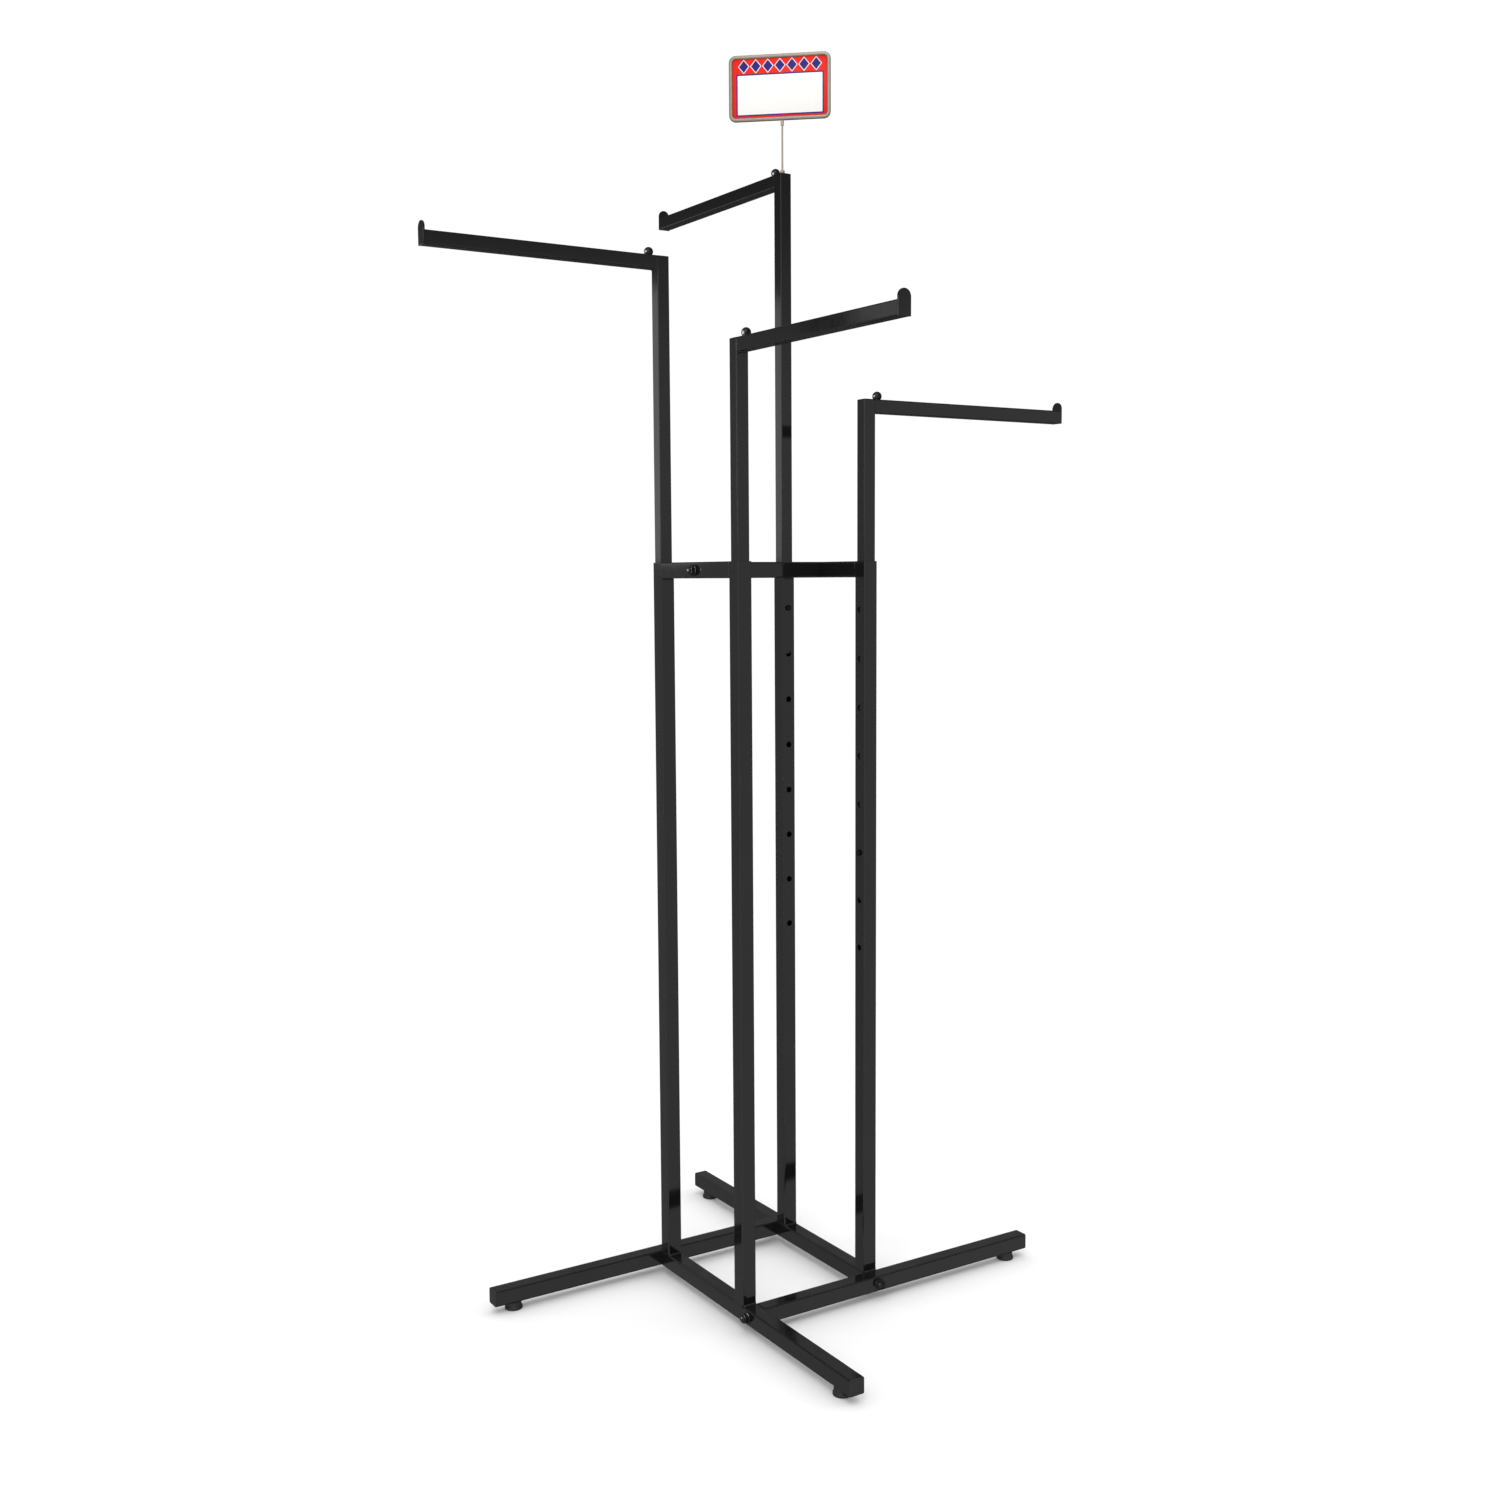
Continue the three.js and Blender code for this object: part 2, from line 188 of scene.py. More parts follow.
SIDES = {"left": -X, "front": -Y, "right": X, "back": Y}      # the way each arm points
FEET = {"front": -Y, "rear": Y, "right": X, "left": -X}       # the way each foot end points
POST = {side: post_base(side) for side in SIDES}
LEVELER = {foot: centre("leveler_" + foot) for foot in FEET}

post_lo, post_hi = box("outer_upright_left")
OUTER_W = post_hi.x - post_lo.x
POST_BOTTOM, POST_TOP = post_lo.z, post_hi.z
BAR_BOTTOM = POST_BOTTOM - OUTER_W
inner_lo, inner_hi = box("inner_upright_left")
INNER_W = inner_hi.x - inner_lo.x
OUTER_HALF, INNER_HALF = OUTER_W / 2, INNER_W / 2
OUTER_WALL, INNER_WALL = 1.5, 1.2
OUTER_R, INNER_R = 2.4, 1.8                 # outside corner radii of the tubes

HOLE_PITCH, HOLE_D, TOP_HOLE_Z, HOLE_COUNT = 76.2, 10.0, 1102.0, 8
BUTTON_HOLE_R = 4.9
BUTTON_DROP = 702.5                         # from the top of the arm down to the button
LEVELER_R = 14.0
LEVELER_STEM_R = 4.0
THREAD_PITCH = 1.25
BOLT_CLEARANCE_R = 4.3
BOLT_DOME_R, BOLT_DOME_Z, BOLT_DOME_H = 6.2, 6.8, 5.4

SIGN_YAW = math.radians(-41)
SIGN_W, SIGN_H, SIGN_T = 166.0, 104.0, 5.0
SIGN_OFFSET = -4.0                          # sign centre from the stem, along its width
SIGN_LIP, SIGN_R = 6.0, 11
SLOT_W, SLOT_BORDER, SLOT_HALF_T = SIGN_W - 5.6, 5.6, 1.1
CARD_W, CARD_H, CARD_T, CARD_Z = SIGN_W - 6.4, SIGN_H - 8, 1.4, -0.8
# print on the card, from the sign centre
PANEL_W, PANEL_H, PANEL_X = 138.4, 61.5, 0.6
PANEL_Z = -SIGN_H / 2 + 10.9 + PANEL_H / 2
PANEL_RULE = 2.1
LOZENGE_PITCH, LOZENGE_HALF_W, LOZENGE_HALF_H, LOZENGE_COUNT = 19.7, 7.8, 9.4, 7
LOZENGE_Z = SIGN_H / 2 - 17.6

# ------------------------------------------------------------------ mesh helpers


def finish_mesh(mesh, angle=32):
    """Merge doubles, face outward, and shade smooth up to an angle in degrees."""
    bm = bmesh.new()
    bm.from_mesh(mesh)
    bmesh.ops.remove_doubles(bm, verts=bm.verts, dist=1e-6)
    bmesh.ops.recalc_face_normals(bm, faces=bm.faces)
    bm.to_mesh(mesh)
    bm.free()
    for polygon in mesh.polygons:
        polygon.use_smooth = True
    mesh.set_sharp_from_angle(angle=math.radians(angle))
    mesh.update()


def link_object(name, mesh):
    item = bpy.data.objects.new(name, mesh)
    scene.collection.objects.link(item)
    return item


def add_mesh(name, verts, faces, angle=32):
    """Object from points in mm."""
    mesh = bpy.data.meshes.new(name)
    mesh.from_pydata([(v[0] * MM, v[1] * MM, v[2] * MM) for v in verts], [], faces)
    finish_mesh(mesh, angle)
    return link_object(name, mesh)


def skin(name, loops, angle=32, closed=False):
    """Object with faces between equal loops; unless closed, the end loops are filled."""
    size, count = len(loops[0]), len(loops)
    verts = [point for loop in loops for point in loop]
    faces = []
    for k in range(count if closed else count - 1):
        a, b = k * size, ((k + 1) % count) * size
        for i in range(size):
            j = (i + 1) % size
            faces.append((a + i, a + j, b + j, b + i))
    if not closed:
        faces.append(tuple(reversed(range(size))))
        faces.append(tuple((count - 1) * size + i for i in range(size)))
    return add_mesh(name, verts, faces, angle)


def rounded_rect(width, radius, steps=6, height=None):
    """Rounded rectangle outline, counter-clockwise; square when no height is given."""
    height = width if height is None else height
    radius = max(min(radius, width / 2 - 0.01, height / 2 - 0.01), 0.05)
    points = []
    for side_x, side_y, start in ((1, 1, 0), (-1, 1, 90), (-1, -1, 180), (1, -1, 270)):
        for i in range(steps + 1):
            a = math.radians(start + 90 * i / steps)
            points.append((side_x * (width / 2 - radius) + radius * math.cos(a),
                           side_y * (height / 2 - radius) + radius * math.sin(a)))
    return points


def side_axes(axis):
    """Two side directions for an axis, so that (u, v, axis) is right handed."""
    axis = axis.normalized()
    if abs(axis.z) > 0.9:
        return X.copy(), (axis.cross(X)).normalized()
    u = Z.cross(axis).normalized()
    return u, axis.cross(u).normalized()


def place(outline, along, axis, origin):
    """Flat outline set square to an axis, some way along it from the origin."""
    u, v = side_axes(axis)
    return [origin + u * p[0] + v * p[1] + axis.normalized() * along for p in outline]


def loft(name, stations, axis, origin, angle=32, steps=6, closed=False):
    """Rounded square sections along an axis; stations are (width, corner radius, place)."""
    loops = [place(rounded_rect(width, radius, steps), along, axis, origin)
             for width, radius, along in stations]
    return skin(name, loops, angle, closed)


def cylinder(start, end, radius, count=36):
    axis = end - start
    ring = []
    for i in range(count):
        a = 2 * math.pi * i / count
        ring.append((radius * math.cos(a), radius * math.sin(a)))
    return skin("tmp_cut", [place(ring, 0, axis, start), place(ring, axis.length, axis, start)])


def revolve(name, profile, count, axis, origin, wobble=None, angle=32):
    """Solid of revolution. The profile is (radius, height), and starts and ends on the axis.

    wobble(radius, height, angle) gives the radius point by point.
    """
    u, v = side_axes(axis)
    verts, faces, rings = [], [], []
    for radius, height in profile:
        first = len(verts)
        if radius < 1e-6:
            verts.append(origin + axis * height)
        else:
            for i in range(count):
                a = 2 * math.pi * i / count
                r = wobble(radius, height, a) if wobble else radius
                verts.append(origin + u * (r * math.cos(a)) + v * (r * math.sin(a))
                             + axis * height)
        rings.append(range(first, len(verts)))
    for p, q in zip(rings, rings[1:]):
        for i in range(count):
            j = (i + 1) % count
            if len(p) == 1:
                faces.append((p[0], q[j], q[i]))
            elif len(q) == 1:
                faces.append((p[i], p[j], q[0]))
            else:
                faces.append((p[i], p[j], q[j], q[i]))
    return add_mesh(name, verts, faces, angle)


def dome(radius, base, height, steps, power=1):
    """Profile points of a dome above its rim, closing on the axis."""
    points = []
    for i in range(1, steps + 1):
        a = math.radians(90 * i / steps)
        points.append((radius * math.cos(a) ** power if i < steps else 0.0,
                       base + height * math.sin(a)))
    return points


def thread(start, turns, rim, middle, half):
    """Profile points of thread turns: radius rim at both edges and middle between them."""
    points = []
    for i in range(turns):
        z = start + THREAD_PITCH * i
        points += [(rim, z), (middle, z + half), (rim, z + 2 * half)]
    return points


def join_meshes(objects, name):
    bm = bmesh.new()
    for item in objects:
        bm.from_mesh(item.data)
        bpy.data.objects.remove(item, do_unlink=True)
    mesh = bpy.data.meshes.new(name)
    bm.to_mesh(mesh)
    bm.free()
    return mesh


def boolean(item, tools, operation="DIFFERENCE", angle=32):
    """Combine with tools that don't touch each other, and keep the result as plain mesh."""
    if len(tools) > 1:
        tool = link_object("tmp_tools", join_meshes(tools, "tmp_tools"))
    else:
        tool = tools[0]
    modifier = item.modifiers.new("boolean", "BOOLEAN")
    modifier.object = tool
    modifier.operation = operation
    modifier.solver = "EXACT"
    bpy.context.view_layer.update()
    graph = bpy.context.evaluated_depsgraph_get()
    mesh = bpy.data.meshes.new_from_object(item.evaluated_get(graph))
    item.modifiers.clear()
    old_mesh = item.data
    item.data = mesh
    mesh.name = item.name
    bpy.data.meshes.remove(old_mesh)
    bpy.data.objects.remove(tool, do_unlink=True)
    finish_mesh(mesh, angle)


# ------------------------------------------------------------------ node helpers


class Nodes:
    """Builds the node tree of a material or a world."""

    def __init__(self, owner):
        owner.use_nodes = True
        self.owner = owner
        self.tree = owner.node_tree
        self.tree.nodes.clear()

    def feed(self, socket, value):
        if isinstance(value, bpy.types.NodeSocket):
            self.tree.links.new(value, socket)
        else:
            socket.default_value = value

    def node(self, kind, inputs=None, **settings):
        node = self.tree.nodes.new("ShaderNode" + kind)
        for key, value in settings.items():
            setattr(node, key, value)
        for key, value in (inputs or {}).items():
            self.feed(node.inputs[key], value)
        return node

    def math(self, operation, *values):
        return self.node("Math", dict(enumerate(values)), operation=operation).outputs[0]

    def times(self, first, second):
        return self.math("MULTIPLY", first, second)

    def plus(self, first, second):
        return self.math("ADD", first, second)

    def measure(self, operation, *vectors):
        """Vector operation that gives a number."""
        node = self.node("VectorMath", dict(enumerate(vectors)), operation=operation)
        return node.outputs["Value"]

    def split(self, vector):
        return self.node("SeparateXYZ", {0: vector}).outputs

    def remap(self, value, low, high, to=(0.0, 1.0), smooth=False):
        """Clamped map of low..high onto a new range."""
        inputs = {"Value": value, "From Min": low, "From Max": high,
                  "To Min": to[0], "To Max": to[1]}
        kind = "SMOOTHSTEP" if smooth else "LINEAR"
        return self.node("MapRange", inputs, interpolation_type=kind).outputs["Result"]

    def mix_shader(self, factor, first, second):
        return self.node("MixShader", {0: factor, 1: first, 2: second}).outputs[0]


class Surface(Nodes):
    """A Principled material with textures in object coordinates."""
    SOCKETS = {"color": "Base Color", "rough": "Roughness", "metal": "Metallic",
               "spec": "Specular IOR Level", "normal": "Normal"}

    def __init__(self, name):
        super().__init__(bpy.data.materials.new(name))
        self.shader = self.node("BsdfPrincipled")
        self.node("OutputMaterial", {0: self.shader.outputs[0]})
        self.coords = self.node("TexCoord")

    @cached_property
    def world_normal(self):
        return self.node("NewGeometry").outputs["Normal"]

    def shade(self, **inputs):
        for key, value in inputs.items():
            self.feed(self.shader.inputs[self.SOCKETS[key]], value)
        return self.owner

    def mapped(self, stretch=(1, 1, 1), offset=(0, 0, 0)):
        inputs = {"Scale": stretch, "Location": offset, "Vector": self.coords.outputs["Object"]}
        return self.node("Mapping", inputs).outputs[0]

    def noise(self, scale, detail=3, rough=0.55, **mapping):
        inputs = {"Scale": scale, "Detail": detail, "Roughness": rough,
                  "Vector": self.mapped(**mapping)}
        return self.node("TexNoise", inputs).outputs["Fac"]

    def cells(self, scale):
        inputs = {"Scale": scale, "Vector": self.mapped()}
        return self.node("TexVoronoi", inputs, feature="F1").outputs["Distance"]

    def mix(self, factor, low, high):
        """Colour between low and high, each a socket or an RGB tuple."""
        low, high = ((*c, 1) if isinstance(c, tuple) else c for c in (low, high))
        return self.node("Mix", {0: factor, 6: low, 7: high}, data_type="RGBA").outputs[2]

    def tint(self, base, mask, color, amount=None):
        """A colour laid over the base where the mask is high."""
        if amount is not None:
            mask = self.times(mask, amount)
        return self.mix(mask, base, color)

    def soft_normal(self, radius=0.0004):
        """Normal that rounds hard edges; the radius is in metres."""
        return self.node("Bevel", {"Radius": radius}, samples=4).outputs[0]

    def edge_mask(self, soft_normal):
        facing = self.measure("DOT_PRODUCT", soft_normal, self.world_normal)
        return self.remap(facing, 1.0, 0.90)

    def corner_mask(self):
        """Rounded corners of a square tube, from how far the normal leans off the axes."""
        normal = self.split(self.coords.outputs["Normal"])
        x, y, z = (self.math("ABSOLUTE", normal[axis]) for axis in "XYZ")
        largest = self.math("MAXIMUM", self.math("MAXIMUM", x, y), z)
        return self.remap(largest, 0.985, 0.80)

    def up_mask(self):
        return self.remap(self.split(self.world_normal)["Z"], 0.6, 0.98)

    def bump(self, height, strength, distance, normal=None):
        inputs = {"Strength": strength, "Distance": distance, "Height": height}
        if normal is not None:
            inputs["Normal"] = normal
        return self.node("Bump", inputs).outputs[0]


# ------------------------------------------------------------------ materials


def scaled(color, factor):
    return tuple(factor * channel for channel in color)


def paint(name, rub=0.0, lift=1.0):
    """Glossy black enamel; rub is the strength of upright wear streaks, lift brightens it."""
    g = Surface(name)
    peel_fine = g.noise(scale=260, detail=2, rough=0.5)
    peel_broad = g.noise(scale=75, detail=2, rough=0.5)
    tone = g.noise(scale=9, detail=4, rough=0.6)
    smudge = g.noise(scale=24, detail=5, rough=0.62)
    grain = g.noise(scale=2600, detail=1, rough=0.5)
    corner = g.corner_mask()
    speck = g.times(g.remap(g.cells(scale=190), 0.02, 0.07, to=(1.0, 0.0)),
                    g.remap(g.noise(scale=17, detail=2), 0.54, 0.62))
    dust = g.times(g.up_mask(), g.remap(smudge, 0.40, 0.75, to=(0.05, 1.0)))
    chip = g.times(corner, g.remap(g.noise(scale=130, detail=5, rough=0.7), 0.60, 0.66))

    color = g.mix(g.remap(tone, 0.3, 0.7),
                  low=scaled((0.0050, 0.0050, 0.0052), lift),
                  high=scaled((0.0066, 0.0066, 0.0067), lift))
    # painted highlight: the rounded corners get a lighter colour, partly worn paint, partly standing in for the light
    # lines that the corners catch
    color = g.tint(color, corner, (0.020, 0.0196, 0.0194), amount=0.30)
    color = g.tint(color, chip, (0.085, 0.083, 0.080), amount=0.35)
    color = g.tint(color, dust, (0.16, 0.155, 0.15), amount=0.05)
    color = g.tint(color, speck, (0.09, 0.09, 0.09), amount=0.16)
    rough = g.remap(smudge, 0.3, 0.72, to=(0.050, 0.095))
    rough = g.plus(rough, g.times(dust, 0.08))
    if rub:
        streak = g.noise(scale=1, detail=4, rough=0.7, stretch=(700, 700, 7), offset=(3, 5, 1))
        streak = g.remap(streak, 0.58, 0.76)
        color = g.tint(color, streak, (0.045, 0.044, 0.043), amount=rub)
        rough = g.plus(rough, g.times(streak, 0.06))
    rough = g.plus(rough, g.times(grain, 0.015))
    height = g.plus(g.times(peel_fine, 0.35), peel_broad)
    return g.shade(color=color, rough=rough, spec=0.5,
                   normal=g.bump(height, strength=0.16, distance=0.00010))


def plastic(name):
    """Matt black plastic with a fine grain and pale edges."""
    g = Surface(name)
    grain = g.noise(scale=3200, detail=2, rough=0.6)
    soft = g.soft_normal()
    smudge = g.noise(scale=60, detail=4, rough=0.6)
    dust = g.times(g.up_mask(), g.remap(smudge, 0.4, 0.7, to=(0.05, 0.22)))
    color = g.mix(g.remap(smudge, 0.3, 0.7),
                  low=(0.012, 0.012, 0.0125), high=(0.021, 0.0205, 0.020))
    color = g.tint(color, g.edge_mask(soft), (0.07, 0.068, 0.066), amount=0.5)
    color = g.tint(color, dust, (0.20, 0.19, 0.18))
    height = g.plus(grain, g.cells(scale=2100))
    return g.shade(color=color, rough=g.remap(smudge, 0.3, 0.7, to=(0.42, 0.56)), spec=0.4,
                   normal=g.bump(height, strength=0.25, distance=0.00006, normal=soft))


def fastener(name):
    """Blackened metal with upright tool marks."""
    g = Surface(name)
    soft = g.soft_normal()
    tool_marks = g.noise(scale=1, detail=3, rough=0.6, stretch=(1500, 1500, 180))
    mottle = g.noise(scale=240, detail=4, rough=0.65)
    color = g.mix(g.remap(mottle, 0.35, 0.7),
                  low=(0.0045, 0.0045, 0.005), high=(0.012, 0.0118, 0.0115))
    color = g.tint(color, g.edge_mask(soft), (0.12, 0.117, 0.113), amount=0.30)
    return g.shade(color=color, rough=g.remap(mottle, 0.3, 0.7, to=(0.11, 0.20)),
                   metal=0.22, spec=0.26,
                   normal=g.bump(tool_marks, strength=0.12, distance=0.00005, normal=soft))


def steel(name):
    """Bare steel with streaks and a little rust."""
    g = Surface(name)
    streak = g.noise(scale=1, detail=4, rough=0.6, stretch=(60, 1800, 1800))
    rust = g.remap(g.noise(scale=75, detail=6, rough=0.7), 0.62, 0.72, to=(0.0, 0.6))
    color = g.mix(g.cells(scale=420), low=(0.36, 0.37, 0.39), high=(0.50, 0.50, 0.51))
    color = g.tint(color, rust, (0.16, 0.09, 0.05))
    normal = g.bump(streak, strength=0.15, distance=0.00004, normal=g.soft_normal())
    return g.shade(color=color, rough=g.remap(streak, 0.3, 0.7, to=(0.26, 0.46)), metal=1.0,
                   normal=normal)


def satin(name, lift=1.0):
    """Warm brushed metal, with painted light on faces that point up; lift brightens it."""
    g = Surface(name)
    brush = g.noise(scale=1, detail=3, rough=0.6, stretch=(160, 160, 700))
    tarnish = g.noise(scale=32, detail=5, rough=0.6)
    pit = g.remap(g.cells(scale=380), 0.0, 0.08, to=(1.0, 0.0))
    color = g.mix(g.remap(tarnish, 0.3, 0.72),
                  low=scaled((0.235, 0.200, 0.160), lift),
                  high=scaled((0.290, 0.252, 0.206), lift))
    color = g.tint(color, pit, (0.10, 0.085, 0.07), amount=0.25)
    # painted light: faces that point up are lighter, as if lit from above
    color = g.tint(color, g.up_mask(), (0.42, 0.39, 0.35), amount=0.25)
    return g.shade(color=color, rough=g.remap(tarnish, 0.3, 0.7, to=(0.30, 0.42)), metal=0.72,
                   normal=g.bump(brush, strength=0.03, distance=0.00003))


def gloss(name, spec):
    """Shiny black with sparse pale flecks."""
    g = Surface(name)
    fleck = g.times(g.remap(g.cells(scale=700), 0.0, 0.09, to=(1.0, 0.0)),
                    g.remap(g.noise(scale=90, detail=2), 0.5, 0.6))
    wave = g.noise(scale=130, detail=2, rough=0.5)
    color = g.tint((0.0045, 0.0045, 0.005), fleck, (0.09, 0.09, 0.09), amount=0.35)
    rough = g.remap(g.noise(scale=220, detail=4), 0.35, 0.7, to=(0.05, 0.11))
    return g.shade(color=color, rough=rough, spec=spec,
                   normal=g.bump(wave, strength=0.05, distance=0.00008))


def card(name):
    """Printed card: red ground, navy-ruled white panel and a row of navy lozenges.

    In the sign's own axes: x right, z up, printed face toward -y.
    """
    g = Surface(name)
    place_on_card = g.split(g.coords.outputs["Object"])
    x = g.times(place_on_card["X"], 1000.0)
    z = g.times(place_on_card["Z"], 1000.0)
    front = g.math("LESS_THAN", g.split(g.coords.outputs["Normal"])["Y"], -0.5)

    def distance(value, middle):
        return g.math("ABSOLUTE", g.math("SUBTRACT", value, middle))

    def panel_mask(margin):
        beyond_x = g.math("SUBTRACT", distance(x, PANEL_X), PANEL_W / 2 + margin)
        beyond_z = g.math("SUBTRACT", distance(z, PANEL_Z), PANEL_H / 2 + margin)
        return g.remap(g.math("MAXIMUM", beyond_x, beyond_z), 0.06, -0.06)

    ink = g.noise(scale=900, detail=3, rough=0.6)
    tone = g.noise(scale=18, detail=3, rough=0.5)
    navy, white, pale = (0.028, 0.016, 0.20), (0.97, 0.96, 0.935), (0.86, 0.84, 0.86)
    color = g.mix(g.remap(tone, 0.3, 0.7), low=(0.84, 0.016, 0.006), high=(0.90, 0.024, 0.010))
    color = g.tint(color, panel_mask(PANEL_RULE), navy)
    color = g.tint(color, panel_mask(0.0), white)

    # one row of lozenges, each with a pale border 0.2 of its size
    steps = g.math("DIVIDE", g.math("SUBTRACT", x, PANEL_X), LOZENGE_PITCH)
    cell = g.math("SUBTRACT", g.math("FRACT", g.plus(steps, 0.5)), 0.5)
    across = g.math("ABSOLUTE", g.times(cell, LOZENGE_PITCH))
    row = g.math("LESS_THAN", distance(x, PANEL_X), LOZENGE_PITCH * LOZENGE_COUNT / 2)
    reach = g.plus(g.math("DIVIDE", across, LOZENGE_HALF_W),
                   g.math("DIVIDE", distance(z, LOZENGE_Z), LOZENGE_HALF_H))
    color = g.tint(color, g.times(g.remap(reach, 1.21, 1.19), row), pale)
    color = g.tint(color, g.times(g.remap(reach, 1.01, 0.99), row), navy)

    back = g.mix(g.remap(tone, 0.3, 0.7), low=(0.80, 0.80, 0.78), high=(0.86, 0.86, 0.84))
    color = g.mix(front, low=back, high=color)
    color = g.tint(color, g.remap(ink, 0.30, 0.75, to=(0.0, 0.02)), (0.5, 0.5, 0.5))
    return g.shade(color=color, rough=g.remap(ink, 0.3, 0.7, to=(0.38, 0.5)), spec=0.12,
                   normal=g.bump(ink, strength=0.08, distance=0.00005))


MATERIALS = {
    "black_coat": paint("black_coat"),
    "black_rubbed": paint("black_rubbed", rub=0.10, lift=1.05),
    "black_plastic": plastic("black_plastic"),
    "black_fastener": fastener("black_fastener"),
    "insert_steel": steel("insert_steel"),
    "satin_metal": satin("satin_metal"),
    "satin_bright": satin("satin_bright", lift=1.9),
    "black_ball": gloss("black_ball", spec=0.24),
    "button_black": gloss("button_black", spec=0.12),
    "printed_card": card("printed_card"),
}


def finish(item, node, material=None, weighted=True):
    """Name, material, normals, body and CAD node of a piece."""
    item.name = node + "_fine"
    item.data.name = item.name
    slot = SLOT[node]
    item.data.materials.clear()
    item.data.materials.append(MATERIALS[material or slot])
    if weighted:
        modifier = item.modifiers.new("normals", "WEIGHTED_NORMAL")
        modifier.keep_sharp = True
        modifier.weight = 60
    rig.ride(item, BODY[node])
    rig.replaces(item, node)
    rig.slot(item, slot)


# ------------------------------------------------------------------ bars, rails, uprights, arms


def square_tube(node, width, radius, wall, cuts=(), material=None):
    """Hollow square tube on a CAD piece's long axis; cuts are (start, end, radius)."""
    lo, hi = box(node)
    size = hi - lo
    k = max(range(3), key=lambda i: size[i])
    axis, a, b = (X, Y, Z)[k], lo[k], hi[k]
    middle = centre(node)
    edge = 0.35                             # width of the broken end edges
    bore_r = max(radius - wall, 0.8)
    bore = width - 2 * wall
    stations = [                            # up the outside, then back down the bore
        (width - 2 * edge, radius - edge, a),
        (width - 0.6 * edge, radius - 0.3 * edge, a + 0.3 * edge),
        (width, radius, a + edge),
        (width, radius, b - edge),
        (width - 0.6 * edge, radius - 0.3 * edge, b - 0.3 * edge),
        (width - 2 * edge, radius - edge, b),
        (bore + edge, bore_r + edge / 2, b),
        (bore, bore_r, b - edge / 2),
        (bore, bore_r, a + edge / 2),
        (bore + edge, bore_r + edge / 2, a),
    ]
    item = loft(node, stations, axis, middle - axis * middle.dot(axis), closed=True)
    if cuts:
        boolean(item, [cylinder(*cut) for cut in cuts])
    finish(item, node, material)


def outer_tube(node, cuts=()):
    square_tube(node, OUTER_W, OUTER_R, OUTER_WALL, cuts)


def inner_tube(node, cuts=()):
    square_tube(node, INNER_W, INNER_R, INNER_WALL, cuts, material="black_rubbed")


def bolt_seat(node):
    """Outward direction and seat point of a cap bolt, from its box and side of the frame."""
    lo, hi = box(node)
    size = hi - lo
    middle = (lo + hi) / 2
    axis = (X, Y, Z)[max(range(3), key=lambda i: size[i])]
    out = axis if middle.dot(axis) > 0 else -axis
    tip = Vector([hi[i] if out[i] > 0.5 else lo[i] if out[i] < -0.5 else middle[i]
                  for i in range(3)])
    return out, tip - out * (BOLT_DOME_Z + BOLT_DOME_H)


def bolt_cuts(node):
    """Cuts through both walls of a bar for the bolts that cross it."""
    cuts = []
    lo, hi = box(node)
    for bolt in BOLTS:
        out, seat = bolt_seat(bolt)
        middle = seat - out * OUTER_W / 2
        if all(lo[i] - 0.5 <= middle[i] <= hi[i] + 0.5 for i in range(3)):
            cuts.append((seat + out * 4, seat - out * (OUTER_W + 4), BOLT_CLEARANCE_R))
    return cuts


def leveler_cuts(node):
    """Cuts in the underside of a bar for the leveler stems below it."""
    lo, hi = box(node)
    return [(Vector((p.x, p.y, BAR_BOTTOM - 3)), Vector((p.x, p.y, BAR_BOTTOM + 5)),
             LEVELER_STEM_R + 0.3)
            for p in LEVELER.values() if lo.x <= p.x <= hi.x and lo.y <= p.y <= hi.y]


def uprights_and_arm(side):
    """Outer upright with its row of holes, inner upright with its button hole, and arm."""
    away = -SIDES[side]                     # the holes face away from the arm
    cuts = []
    for i in range(HOLE_COUNT):
        p = POST[side] + Z * (TOP_HOLE_Z - HOLE_PITCH * i)
        cuts.append((p + away * 6, p + away * 20, HOLE_D / 2))
    outer_tube("outer_upright_" + side, cuts)
    p = POST[side] + Z * (arm_top(side) - BUTTON_DROP)
    inner_tube("inner_upright_" + side, [(p + away * 5, p + away * 16, BUTTON_HOLE_R)])
    inner_tube("arm_" + side)


def end_stop(side):
    """Plate at the end of the arm, with a rounded top and softened edges."""
    node = "end_stop_" + side
    out = SIDES[side]
    across = Z.cross(out).normalized()
    bottom, top = span(node, Z)
    near, far = span(node, out)
    arc_z = top - INNER_HALF
    outline = [(-INNER_HALF, bottom), (INNER_HALF, bottom)]
    for degrees in range(0, 181, 6):
        a = math.radians(degrees)
        outline.append((INNER_HALF * math.cos(a), arc_z + INNER_HALF * math.sin(a)))

    def inset(margin):
        points = []
        for x, z in outline:
            if z <= bottom + 0.01:
                points.append((x - math.copysign(margin, x), z + margin))
            else:
                r = math.hypot(x, z - arc_z)
                scale = (r - margin) / r
                points.append((x * scale, arc_z + (z - arc_z) * scale))
        return points

    stations = [                            # inset of the outline, place along the arm
        (0.55, near), (0.16, near + 0.16), (0.0, near + 0.55),
        (0.0, far - 0.7), (0.2, far - 0.2), (0.7, far),
    ]
    loops = [[across * POST[side].dot(across) + out * along + across * x + Z * z
              for x, z in inset(margin)] for margin, along in stations]
    finish(skin(node, loops, angle=40), node)


